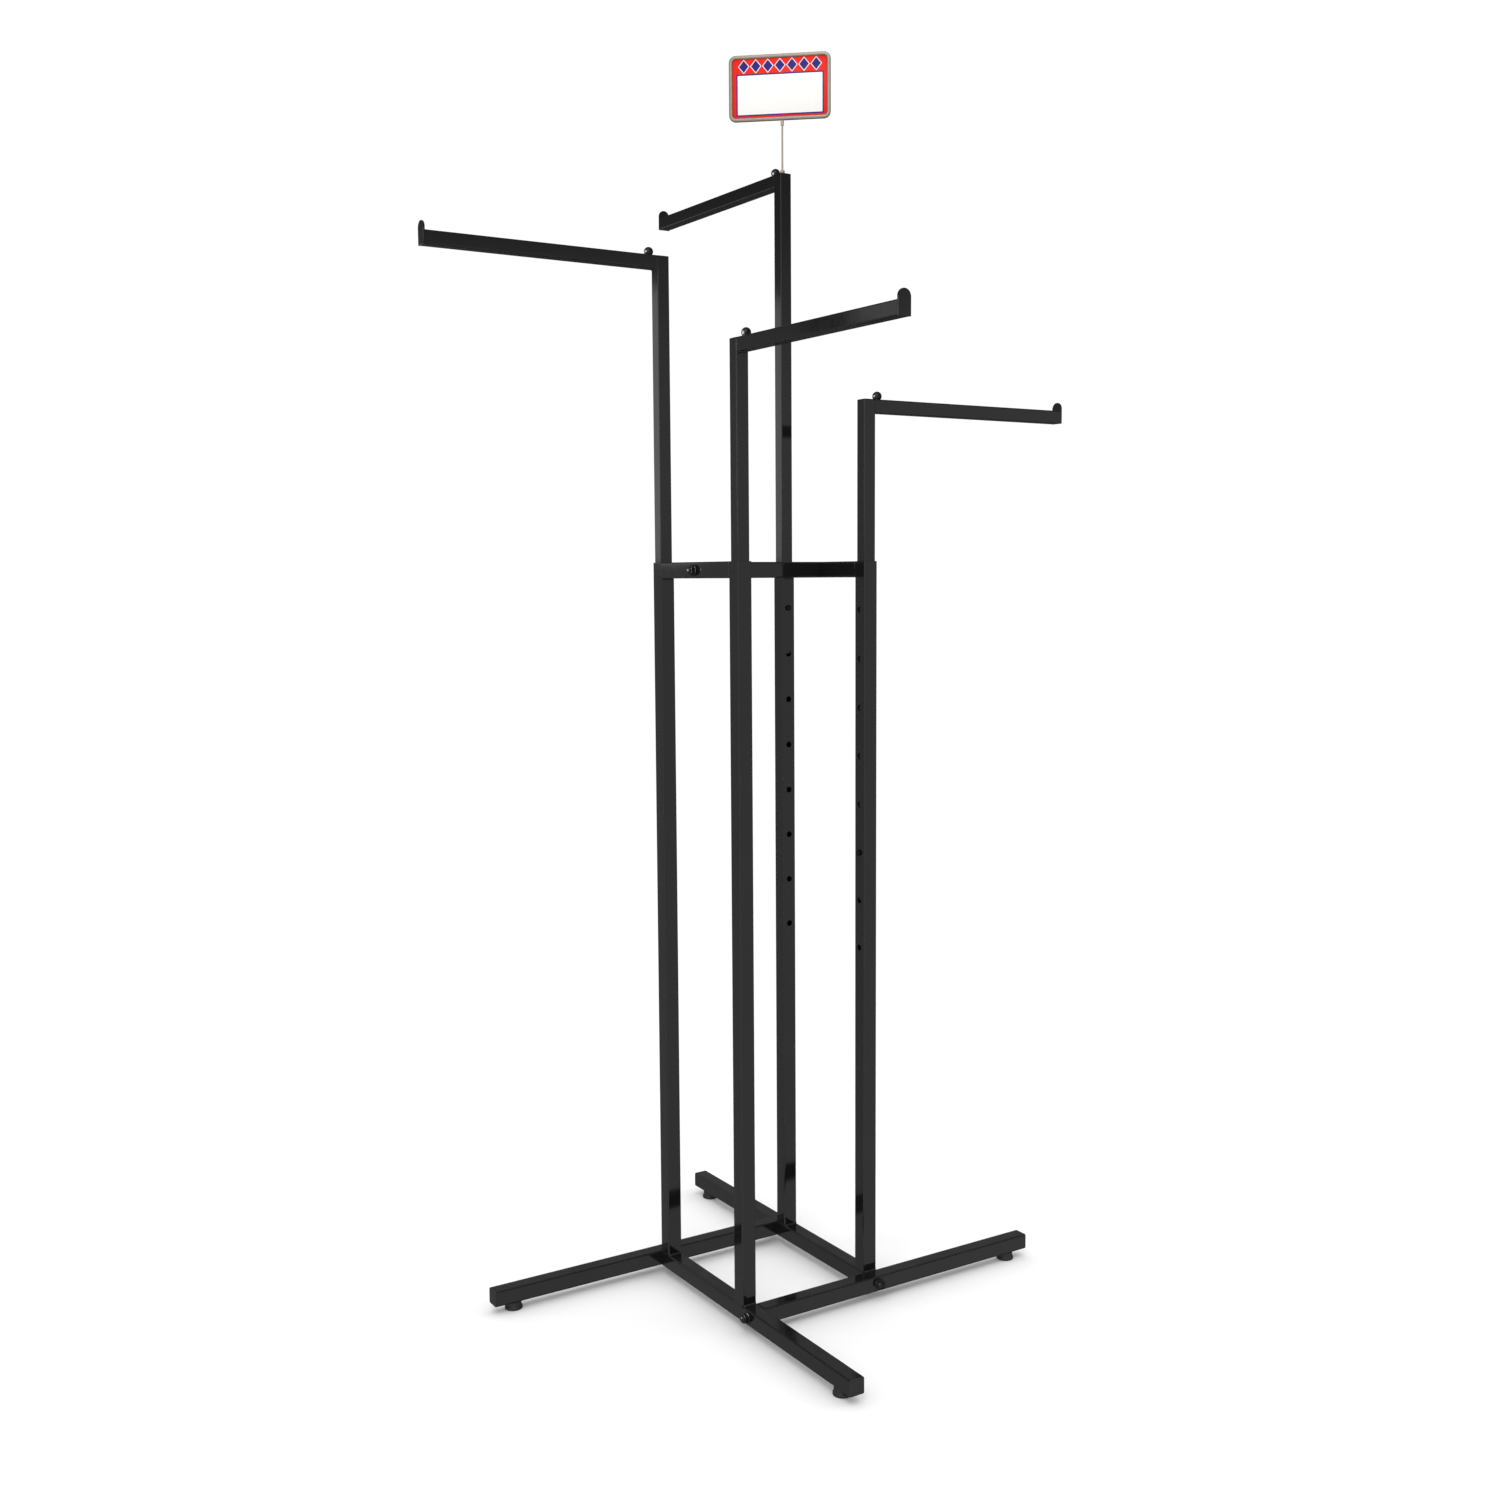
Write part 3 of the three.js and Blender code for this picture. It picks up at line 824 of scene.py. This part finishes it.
def upright_cap(side):
    """Plug and lid in the top of the inner upright; the one at the back is bored through."""
    node = "upright_cap_" + side
    top = arm_top(side)
    plug = INNER_W - 2 * INNER_WALL - 0.6
    stations = [                            # width, corner radius, height from the tube top
        (plug - 1.6, 0.9, -12), (plug - 0.5, 1.1, -11.2), (plug, 1.2, -10.4), (plug, 1.2, -1.2),
        (INNER_W - 0.7, INNER_R - 0.3, -1.2), (INNER_W, INNER_R, -0.95),
        (INNER_W, INNER_R, -0.55), (INNER_W - 0.5, INNER_R - 0.2, -0.18),
        (INNER_W - 1.8, INNER_R - 0.6, 0.0), (INNER_W - 6, INNER_R, 0.0),
    ]
    item = loft(node, stations, Z, POST[side] + Z * top, angle=40)
    if side == "back":
        bore = cylinder(POST[side] + Z * (top - 20), POST[side] + Z * (top + 5), 3.4)
        boolean(item, [bore], angle=40)
    finish(item, node)


def ball_stop(side):
    """Turned ball on a short collar, with a fine parting line round its middle."""
    node = "ball_stop_" + side
    ball_r, foot_r = 7.3, 4.8
    ball_z = math.sqrt(ball_r * ball_r - foot_r * foot_r)
    profile = [(0, 0), (foot_r, 0), (foot_r + 0.55, 0.15), (foot_r + 0.75, 0.5),
               (foot_r + 0.62, 0.85)]
    collar_top, steps = 1.05, 26
    start = math.degrees(math.asin((collar_top - ball_z) / ball_r))
    for i in range(steps + 1):
        degrees = start + (90 - start) * i / steps
        r = ball_r - 0.05 if abs(degrees) < 1.6 else ball_r
        a = math.radians(degrees)
        profile.append((r * math.cos(a) if i < steps else 0.0, ball_z + r * math.sin(a)))
    middle = centre(node)
    item = revolve(node, profile, 48, Z, Vector((middle.x, middle.y, arm_top(side))), angle=50)
    finish(item, node, weighted=False)


def snap_button(side):
    """Domed pin with a flange, on a spring leaf that bows away from the wall."""
    node = "snap_button_" + side
    out = -SIDES[side]
    across = Z.cross(out).normalized()
    height = arm_top(side) - BUTTON_DROP
    wall = INNER_HALF - INNER_WALL          # inside face of the inner tube
    tip = OUTER_HALF + 4.6
    pin_r, dome_h = 4.6, 2.8
    profile = [                             # radius, distance from the middle of the post
        (0, wall - 3.0), (2.6, wall - 3.0), (3.1, wall - 2.8), (3.2, wall - 2.3),
        (3.2, wall - 1.7), (5.9, wall - 1.7), (6.2, wall - 1.45), (6.2, wall - 0.55),
        (5.9, wall - 0.3), (pin_r, wall - 0.3), (pin_r, tip - dome_h),
    ]
    profile += dome(pin_r, tip - dome_h, dome_h, steps=10, power=0.72)
    pin = revolve(node, profile, 40, out, POST[side] + Z * height, angle=35)

    leaf_top, leaf_length, steps, half_t = 6, 50, 30, 0.5
    bow_top, bow_length, bow_depth = -8, 36, 0.8
    loops = []
    for i in range(steps + 1):
        z = leaf_top - leaf_length * i / steps
        bow = 0.0
        if z <= bow_top:
            bow = -bow_depth * math.sin(math.pi * min(1, (bow_top - z) / bow_length))
        half_w = 4.5 if i not in (0, steps) else 3.4
        c = POST[side] + Z * (height + z) + out * (wall - 1.9 + bow)
        loops.append([c + across * half_w + out * half_t, c - across * half_w + out * half_t,
                      c - across * half_w - out * half_t, c + across * half_w - out * half_t])
    boolean(pin, [skin("tmp_leaf", loops, angle=30)], "UNION", angle=35)
    finish(pin, node, weighted=False)


for node in ("base_bar_left", "base_bar_right", "foot_bar_front", "foot_bar_rear"):
    outer_tube(node, bolt_cuts(node) + leveler_cuts(node))
for node in ("top_rail_left", "top_rail_right"):
    outer_tube(node, bolt_cuts(node))
outer_tube("cross_bar")
for side in SIDES:
    uprights_and_arm(side)
    end_stop(side)
    upright_cap(side)
    ball_stop(side)
    snap_button(side)

# ------------------------------------------------------------------ feet, bolts and inserts


def foot_cap(foot):
    """Ribbed plug and shallow lid in the open end of a foot."""
    node = "foot_cap_" + foot
    out = FEET[foot]
    lid_t = 1.5
    middle = centre(node)
    origin = middle - out * middle.dot(out) + out * (span(node, out)[1] - lid_t)
    plug = OUTER_W - 2 * OUTER_WALL - 0.6
    # stations are width, corner radius, distance out from the end of the tube
    stations = [(plug - 2.4, 1.0, -14), (plug - 1.0, 1.2, -13.2), (plug, 1.3, -11.8)]
    for k in range(4):
        z = -11 + 2.6 * k
        stations += [(plug - 0.9, 1.2, z), (plug - 0.9, 1.2, z + 0.9),
                     (plug, 1.3, z + 1.3), (plug, 1.3, z + 1.7)]
    stations += [
        (plug, 1.3, 0), (OUTER_W - 0.9, OUTER_R - 0.4, 0), (OUTER_W - 0.1, OUTER_R, 0.12),
        (OUTER_W, OUTER_R, 0.35), (OUTER_W - 0.1, OUTER_R, 0.8),
        (OUTER_W - 0.7, OUTER_R - 0.2, 1.25), (OUTER_W - 2.2, OUTER_R - 0.4, lid_t),
        (OUTER_W - 6.0, OUTER_R, lid_t), (OUTER_W - 6.6, OUTER_R, 1.28),
        (OUTER_W - 7.6, OUTER_R, 1.28), (OUTER_W - 8.2, OUTER_R, lid_t),
        (OUTER_W - 12, OUTER_R, lid_t),
    ]
    finish(loft(node, stations, out, origin, angle=40), node)


def leveler(foot):
    """Round foot with a fluted rim on a threaded stem."""
    node = "leveler_" + foot
    R, stem_r = LEVELER_R, LEVELER_STEM_R

    def flute(radius, height, a):
        if 5.6 < height < 11.9 and radius > 10:
            return radius - 0.28 * (0.5 + 0.5 * math.cos(36 * a))
        return radius

    profile = [(0, 0.9), (8.5, 0.9), (9.2, 0.2), (9.6, 0.0), (R - 1.1, 0.0), (R - 0.4, 0.25),
               (R, 0.9), (R, 4.0), (R - 0.35, 4.7), (R - 1.2, 5.2), (R - 1.6, 5.6)]
    profile += [(R - 1.6, 5.6 + 0.9 * i) for i in range(1, 7)]
    profile += [(R - 1.8, 11.8), (R - 2.4, 12.45), (R - 3.2, 12.7), (5.2, 12.7), (stem_r, 12.7)]
    profile += thread(12.8, turns=15, rim=stem_r, middle=3.55, half=0.45)
    profile += [(stem_r, 32.0), (3.2, 33.0), (0, 33.0)]
    p = LEVELER[foot]
    item = revolve(node, profile, 144, Z, Vector((p.x, p.y, box(node)[0].z)), flute, angle=40)
    finish(item, node, weighted=False)


def bolt(node):
    """Threaded bolt with a washer face, hexagon and dome."""
    # profile is radius, distance out from the seat
    profile = [(0, -OUTER_W - 16), (2.6, -OUTER_W - 16), (3.1, -OUTER_W - 15.2)]
    profile += thread(-OUTER_W - 14.8, turns=12, rim=3.8, middle=3.35, half=0.5)
    profile += [(3.8, -OUTER_W + 0.5), (3.8, -0.02), (8.6, 0.0), (9.0, 0.25), (9.0, 1.05),
                (8.7, 1.4), (7.8, 1.75), (BOLT_DOME_R, 1.85), (BOLT_DOME_R, BOLT_DOME_Z)]
    profile += dome(BOLT_DOME_R, BOLT_DOME_Z, BOLT_DOME_H, steps=12)
    # made upright at the origin, then turned to its own axis, so that all are the same mesh
    origin = Vector((0, 0, 0))
    item = revolve(node, profile, 48, Z, origin, angle=35)
    hexagon_r = 8.2
    outline = []
    for i in range(6):
        a = math.radians(60 * i + 30)
        outline.append((hexagon_r * math.cos(a), hexagon_r * math.sin(a)))
    hexagon = skin("tmp_hex", [place(outline, z, Z, origin) for z in (1.7, 7.2)])
    cone_profile = [(0, 1.5), (8.7, 1.5), (8.7, 6.0), (6.9, 7.15), (0, 7.15)]
    cone = revolve("tmp_cone", cone_profile, 48, Z, origin)
    boolean(hexagon, [cone], "INTERSECT")
    boolean(item, [hexagon], "UNION", angle=30)
    out, seat = bolt_seat(node)
    u, v = side_axes(out)
    turn = Matrix((u, v, out)).transposed().to_4x4()
    turn.translation = seat * MM
    item.data.transform(turn)
    item.data.update()
    finish(item, node, weighted=False)


def insert(node):
    """Ribbed square plug with a threaded bore."""
    lo, hi = box(node)
    size = hi - lo
    k = min(range(3), key=lambda i: size[i])
    axis, width = (X, Y, Z)[k], size[(k + 1) % 3]
    middle = (lo + hi) / 2
    a, b = -size[k] / 2, size[k] / 2
    # stations are width, corner radius, place along the bore from the middle
    stations = [(width - 1.2, 0.9, a), (width - 0.3, 1.1, a + 0.3), (width, 1.2, a + 0.9)]
    for i in range(5):
        z = a + 2.4 + 3.2 * i
        stations += [(width, 1.2, z), (width - 0.7, 1.0, z + 0.5),
                     (width - 0.7, 1.0, z + 1.0), (width, 1.2, z + 1.5)]
    stations += [(width, 1.2, b - 0.9), (width - 0.3, 1.1, b - 0.3), (width - 1.2, 0.9, b)]
    item = loft(node, stations, axis, middle, angle=40, steps=4)
    profile = [(0, a - 2), (4.6, a - 2), (4.0, a + 0.6)]
    profile += thread(a + 0.8, turns=14, rim=4.0, middle=4.3, half=0.5)
    profile += [(4.0, b - 0.6), (4.6, b + 2), (0, b + 2)]
    boolean(item, [revolve("tmp_bore", profile, 40, axis, middle)], angle=40)
    finish(item, node, weighted=False)


for foot in FEET:
    foot_cap(foot)
for foot in FEET:
    leveler(foot)
for node in BOLTS:
    bolt(node)
for node in INSERTS:
    insert(node)

# ------------------------------------------------------------------ welds


def bead(start, end, n1, n2, leg):
    """Convex rippled fillet in the corner between faces with outward normals n1 and n2."""
    step, ripple, grow_length, arc_steps = 0.42, 1.7, 1.6, 6
    run = end - start
    count = max(int(run.length / step), 4)
    phase = random.uniform(0, 6.28)
    loops = []
    for i in range(count + 1):
        s = i / count * run.length
        grow = 0.5 + 0.5 * min(1.0, min(s, run.length - s) / grow_length)
        wave = 0.10 * math.sin(2 * math.pi * s / ripple + phase)
        size = leg * grow * (1 + wave + random.uniform(-0.02, 0.02))
        c = start + run * (i / count)
        ring = [c - (n1 + n2) * 0.35]
        for q in range(arc_steps + 1):
            t = q / arc_steps
            bulge = size * (1 + 0.30 * math.sin(math.pi * t))
            sink = 0.05 if q in (0, arc_steps) else 0.0
            ring.append(c + (n1 * (1 - t) + n2 * t) * bulge - (n2 * (1 - t) + n1 * t) * sink)
        loops.append(ring)
    return skin("tmp_bead", loops, angle=60)


def seam(start, end, normal, side, width, height):
    """Low ground weld line on a flat joint, standing out along the normal."""
    step, ripple, grow_length, arc_steps = 0.5, 1.9, 1.5, 6
    run = end - start
    count = max(int(run.length / step), 4)
    phase = random.uniform(0, 6.28)
    loops = []
    for i in range(count + 1):
        s = i / count * run.length
        grow = 0.35 + 0.65 * min(1.0, min(s, run.length - s) / grow_length)
        h = height * grow * (1 + 0.16 * math.sin(2 * math.pi * s / ripple + phase))
        w = width / 2 * (0.8 + 0.2 * grow)
        c = start + run * (i / count)
        ring = [c - normal * 0.25 - side * w * 0.6, c - normal * 0.25 + side * w * 0.6]
        for q in range(arc_steps + 1):
            a = math.pi * q / arc_steps
            ring.append(c + side * (w * math.cos(a)) + normal * (h * math.sin(a) - 0.02))
        loops.append(ring)
    return skin("tmp_seam", loops, angle=60)


def post_welds(side):
    """Welds of an outer upright to its base bar, which runs along Y, and to its top rail."""
    base, half = POST[side], OUTER_HALF
    reach = X * (half - 1.6)
    welds = []
    for sign in (-1, 1):
        p = base + Y * (sign * half) + Z * POST_BOTTOM
        welds.append(bead(p - reach, p + reach, Y * sign, Z, leg=2.1))
    for sign in (-1, 1):
        p = base + X * (sign * half) + Z * POST_BOTTOM
        welds.append(seam(p - Y * (half - 0.6), p + Y * (half - 0.6), X * sign, Z,
                          width=2.4, height=0.30))
    inward = -1 if base.y > 0 else 1        # the rail meets the face toward the middle
    p = base + Y * (inward * half)
    rail_z = POST_TOP - OUTER_W
    welds.append(bead(p + Z * rail_z - reach, p + Z * rail_z + reach, Y * inward, -Z, leg=1.9))
    for sign in (-1, 1):
        q = p + X * (sign * half)
        welds.append(seam(q + Z * (rail_z + 1.2), q + Z * (POST_TOP - 1.2), X * sign, Y,
                          width=2.2, height=0.28))
    return welds


def arm_welds(side):
    """Welds of an arm to its inner upright, and of the end stop to the arm."""
    base, out, half = POST[side], SIDES[side], INNER_HALF
    across = Z.cross(out).normalized()
    top = arm_top(side)
    p = base + out * half
    q = p + Z * (top - INNER_W)
    reach = across * (half - 1.4)
    welds = [bead(q - reach, q + reach, out, -Z, leg=1.8)]
    for sign in (-1, 1):
        q = p + across * (sign * half)
        welds.append(seam(q + Z * (top - INNER_W + 1), q + Z * (top - 1.4), across * sign, out,
                          width=2.0, height=0.26))
    near = span("end_stop_" + side, out)[0]
    q = base - out * base.dot(out) + out * near + Z * top
    reach = across * (half - 2.0)
    welds.append(bead(q - reach, q + reach, -out, Z, leg=1.3))
    return welds


welds_by_body = {"frame": []}
for side in SIDES:
    welds_by_body["frame"] += post_welds(side)
    welds_by_body["arm_post_" + side] = arm_welds(side)
for body, welds in welds_by_body.items():
    item = link_object("welds_" + body, join_meshes(welds, "welds"))
    finish_mesh(item.data, angle=60)
    item.data.materials.append(MATERIALS["black_coat"])
    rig.ride(item, body)
    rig.slot(item, "black_coat")

# ------------------------------------------------------------------ sign holder
socket_middle = centre("sign_socket")
SOCKET = Vector((socket_middle.x, socket_middle.y, arm_top("back")))    # on top of the cap


def sign_socket():
    """Grooved collar with a bore for the stem."""
    profile = [
        (0, -9), (2.6, -9), (3.05, -8.6), (3.05, -0.2), (3.65, 0.12), (3.9, 0.4), (3.9, 1.8),
        (3.65, 2.1), (3.65, 2.5), (3.9, 2.8), (3.9, 4.7), (3.6, 5.6), (3.1, 6.25), (2.5, 6.4),
        (0, 6.4),
    ]
    item = revolve("sign_socket", profile, 40, Z, SOCKET, angle=40)
    bore = cylinder(Vector((SOCKET.x, SOCKET.y, arm_top("back") - 7.5)),
                    Vector((SOCKET.x, SOCKET.y, arm_top("back") + 9)), 1.8, count=32)
    boolean(item, [bore], angle=40)
    finish(item, "sign_socket", "satin_bright", weighted=False)


def sign_stem():
    """Thin rod with a grooved collar at its top."""
    top = box("sign_stem")[1].z - arm_top("back")
    profile = [
        (0, -7), (0.9, -7), (1.35, -6.6), (1.5, -6.1), (1.5, 5.6), (1.5, top - 9.4),
        (1.7, top - 9.0), (2.4, top - 8.6), (2.65, top - 8.1), (2.65, top - 5.8),
        (2.45, top - 5.5), (2.45, top - 5.1), (2.65, top - 4.8), (2.65, top - 1.5),
        (2.4, top - 0.6), (1.8, top), (0, top),
    ]
    item = revolve("sign_stem", profile, 40, Z, SOCKET, angle=40)
    finish(item, "sign_stem", "satin_bright", weighted=False)


def stand_sign(item):
    """Move a piece from the sign's own axes (x right, y to its back, z up) to its place."""
    right = Vector((math.cos(SIGN_YAW), math.sin(SIGN_YAW), 0))
    back = Vector((-math.sin(SIGN_YAW), math.cos(SIGN_YAW), 0))
    bottom = box("sign_frame")[0].z
    origin = Vector((socket_middle.x, socket_middle.y, bottom + SIGN_H / 2))
    origin += right * SIGN_OFFSET
    item.matrix_world = Matrix(((right.x, back.x, 0, origin.x * MM),
                                (right.y, back.y, 0, origin.y * MM),
                                (0, 0, 1, origin.z * MM),
                                (0, 0, 0, 1)))
    bpy.context.view_layer.update()


def sign_frame():
    """Rounded lip swept round the sign, with a slot for the card that is open at the top."""
    path = rounded_rect(SIGN_W - SIGN_LIP, SIGN_R - SIGN_LIP / 2, 10, SIGN_H - SIGN_LIP)
    section = rounded_rect(SIGN_LIP, 1.5, 5, SIGN_T)
    loops = []
    for i, p in enumerate(path):
        before, after = path[i - 1], path[(i + 1) % len(path)]
        run_x, run_z = after[0] - before[0], after[1] - before[1]
        length = math.hypot(run_x, run_z)
        out_x, out_z = run_z / length, -run_x / length
        loops.append([(p[0] + out_x * q[0], q[1], p[1] + out_z * q[0]) for q in section])
    item = skin("sign_frame", loops, angle=40, closed=True)
    outline = [q for q in rounded_rect(SLOT_W, 8.2, 8, SIGN_H - SLOT_BORDER) if q[1] < 0]
    outline += [(SLOT_W / 2, SIGN_H), (-SLOT_W / 2, SIGN_H)]
    cutter = skin("tmp_slot", [[(x, y, z) for x, z in outline]
                               for y in (-SLOT_HALF_T, SLOT_HALF_T)])
    boolean(item, [cutter], angle=40)
    stand_sign(item)
    finish(item, "sign_frame", weighted=False)


def sign_card():
    """Thin sheet with rounded corners and broken edges."""
    outline = rounded_rect(CARD_W, 8, 8, CARD_H)
    half_t = CARD_T / 2
    loops = []
    for y, inset in ((-half_t, 0.25), (-half_t + 0.2, 0.0), (half_t - 0.2, 0.0), (half_t, 0.25)):
        scale_x = (CARD_W - 2 * inset) / CARD_W
        scale_z = (CARD_H - 2 * inset) / CARD_H
        loops.append([(x * scale_x, y, z * scale_z + CARD_Z) for x, z in outline])
    item = skin("sign_card", loops, angle=35)
    stand_sign(item)
    finish(item, "sign_card", weighted=False)


sign_socket()
sign_stem()
sign_frame()
sign_card()

# ------------------------------------------------------------------ floor and room


def room(g, direction):
    """Brightness of the room in mirror reflections, by direction."""
    front_right, front_left = (0.5345, -0.8452, 0.0), (-0.8452, -0.5345, 0.0)
    front_level, back_level, far_level, near_level = 0.60, 0.30, 0.20, 0.70

    def ease(value, low, high, to=(0.0, 1.0)):
        return g.remap(value, low, high, to, smooth=True)

    def spot(middle, inner, outer, to):
        away = g.measure("DISTANCE", direction, Vector(middle).normalized())
        return ease(away, inner, outer, to)

    facing = g.measure("DOT_PRODUCT", direction, front_right)
    z = g.split(direction)["Z"]
    # lit walls to the front right and back left, darker above
    side = g.plus(ease(facing, 0.50, 0.90, to=(0.0, front_level)),
                  ease(g.times(facing, -1.0), 0.50, 0.90, to=(0.0, back_level)))
    side = g.times(side, ease(z, 0.08, 0.26, to=(1.0, 0.2)))
    # everywhere else, lighter upward and to the front left
    leftness = g.measure("DOT_PRODUCT", direction, front_left)
    rest = g.plus(ease(z, -0.10, 0.18, to=(0.05, far_level)),
                  ease(leftness, 0.05, 0.45, to=(0.0, near_level)))
    off_axis = ease(g.math("ABSOLUTE", facing, 0.0), 0.50, 0.90, to=(1.0, 0.0))
    rest = g.times(off_axis, rest)
    # a dark spot and a lit spot beside it, to the back left and a little above level
    side = g.times(side, spot((-1.293, 1.822, 0.334), 0.011, 0.020, to=(0.0, 1.0)))
    side = g.plus(side, spot((-1.293, 1.700, 0.334), 0.020, 0.030, to=(0.62, 0.0)))
    return g.plus(side, rest)


def floor_material():
    """Pale floor that fades into a glowing surround; reflections see the room instead."""
    g = Nodes(bpy.data.materials.new("floor"))
    geometry = g.node("NewGeometry")
    position = geometry.outputs["Position"]
    rays = g.node("LightPath")
    cloud = g.node("TexNoise", {"Scale": 1.3, "Vector": position}).outputs["Fac"]
    diffuse = g.node("BsdfDiffuse", {"Color": g.remap(cloud, 0.0, 1.0, to=(0.90, 0.92))})
    strength = g.remap(rays.outputs["Is Camera Ray"], 0.0, 1.0, to=(0.80, 1.02))
    surround = g.node("Emission", {"Strength": strength})
    fade = g.remap(g.measure("LENGTH", position), 0.62, 1.9, smooth=True)
    ground = g.mix_shader(fade, diffuse.outputs[0], surround.outputs[0])
    toward = g.node("VectorMath", operation="SCALE")
    g.feed(toward.inputs[0], geometry.outputs["Incoming"])
    g.feed(toward.inputs["Scale"], -1.0)
    mirrored = g.node("Emission", {"Strength": room(g, toward.outputs["Vector"])})
    shader = g.mix_shader(rays.outputs["Is Glossy Ray"], ground, mirrored.outputs[0])
    g.node("OutputMaterial", {0: shader})
    return g.owner


def build_floor():
    """Disc in rings that widen outward."""
    count = 128
    radii = [0.6, 1.2, 2, 3, 4.5, 7, 12, 25, 60]    # metres
    verts = [(0, 0, 0)]
    for r in radii:
        for i in range(count):
            a = 2 * math.pi * i / count
            verts.append((r * math.cos(a) * 1000, r * math.sin(a) * 1000, 0))
    faces = [(0, 1 + i, 1 + (i + 1) % count) for i in range(count)]
    for k in range(len(radii) - 1):
        a, b = 1 + k * count, 1 + (k + 1) * count
        for i in range(count):
            j = (i + 1) % count
            faces.append((a + i, b + i, b + j, a + j))
    floor = add_mesh("floor", verts, faces)
    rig.stage(floor)
    floor.data.materials.append(floor_material())


def build_world():
    """White to the camera, softer white as light, and the room in reflections."""
    scene.world = bpy.data.worlds.new("studio")
    g = Nodes(scene.world)

    def background(strength):
        return g.node("Background", {"Color": (1, 1, 1, 1), "Strength": strength}).outputs[0]

    rays = g.node("LightPath")
    direction = g.node("TexCoord").outputs["Generated"]
    lit = g.mix_shader(rays.outputs["Is Glossy Ray"], background(0.85),
                       background(room(g, direction)))
    shader = g.mix_shader(rays.outputs["Is Camera Ray"], lit, background(1.02))
    g.node("OutputWorld", {0: shader})


build_floor()
build_world()

# ------------------------------------------------------------------ lights (metres, watts)


def area(name, place, target, size, power, glossy=True):
    """Rectangular light, its size (width, height), hidden from the camera."""
    light = bpy.data.lights.new(name, "AREA")
    light.shape = "RECTANGLE"
    light.size, light.size_y = size
    light.energy = power
    lamp = link_object(name, light)
    lamp.location = place
    aim = Vector(target) - Vector(place)
    lamp.rotation_euler = aim.to_track_quat("-Z", "Y").to_euler()
    lamp.visible_camera = False
    lamp.visible_glossy = glossy
    return lamp


def glint(name, key, place, size, power):
    """Soft box on the left that only the pieces with key in their names see."""
    lamp = area(name, place, (0, 0, 1.48), size, power)
    seen_by = bpy.data.collections.new(name)
    for item in list(scene.collection.objects):
        if item.name.endswith("_fine") and key in item.name:
            seen_by.objects.link(item)
    lamp.light_linking.receiver_collection = seen_by
    lamp.light_linking.blocker_collection = seen_by


area("key", place=(-2.2, -2.4, 3.8), target=(0, 0, 0.8), size=(1.6, 1.6), power=34)
area("fill", place=(2.8, -1.6, 2.6), target=(0, 0, 0.9), size=(2.4, 2.4), power=18,
     glossy=False)
area("top", place=(0.2, 0.4, 4.2), target=(0, 0, 0), size=(3.0, 3.0), power=40, glossy=False)
# narrow, for a small highlight on round parts and rounded corners
area("side", place=(-2.9, 1.9, 1.75), target=(0, 0, 1.5), size=(0.45, 0.9), power=8)
glint("glint_balls", "ball_stop", place=(-1.46, 0.42, 1.42), size=(1.7, 1.7), power=190)
glint("glint_nuts", "_bolt_", place=(-2.90, 0.83, 1.35), size=(1.6, 2.2), power=210)
# upright, behind and to the left, mirrored in the upper left-hand faces
area("panel", place=(-1.25, 3.03, 1.672), target=(0.0, 0.1, 1.672), size=(1.14, 0.93),
     power=2.55)

# ------------------------------------------------------------------ camera


def build_camera():
    """Camera at the front left, looking toward the back right and slightly down."""
    yaw, pitch, roll = math.radians(-32.33), math.radians(6.0), math.radians(-0.36)
    data = bpy.data.cameras.new("camera")
    data.sensor_fit = "HORIZONTAL"
    data.sensor_width = 36.0
    data.lens = 39.7104
    data.clip_end = 300
    camera = link_object("camera", data)
    forward = Vector((-math.sin(yaw) * math.cos(pitch), math.cos(yaw) * math.cos(pitch),
                      -math.sin(pitch)))
    right = Vector((math.cos(yaw), math.sin(yaw), 0))
    up = right.cross(forward)
    rolled_right = right * math.cos(roll) + up * math.sin(roll)
    rolled_up = -right * math.sin(roll) + up * math.cos(roll)
    pose = Matrix((rolled_right, rolled_up, -forward)).transposed().to_4x4()
    pose.translation = Vector((-1.4183, -2.1980, 1.155))
    camera.matrix_world = pose
    scene.camera = camera


build_camera()
scene.view_settings.view_transform = "Standard"
scene.view_settings.look = "None"
scene.view_settings.exposure = 0.0
scene.view_settings.gamma = 1.0

# the work folder may be missing or read-only, and the sizes are then not written
try:
    with open("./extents.json", "w") as fh:
        json.dump({"cad": CAD_BOX, "visual": [[float(c) for c in v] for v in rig.bounds()]}, fh)
except OSError:
    pass
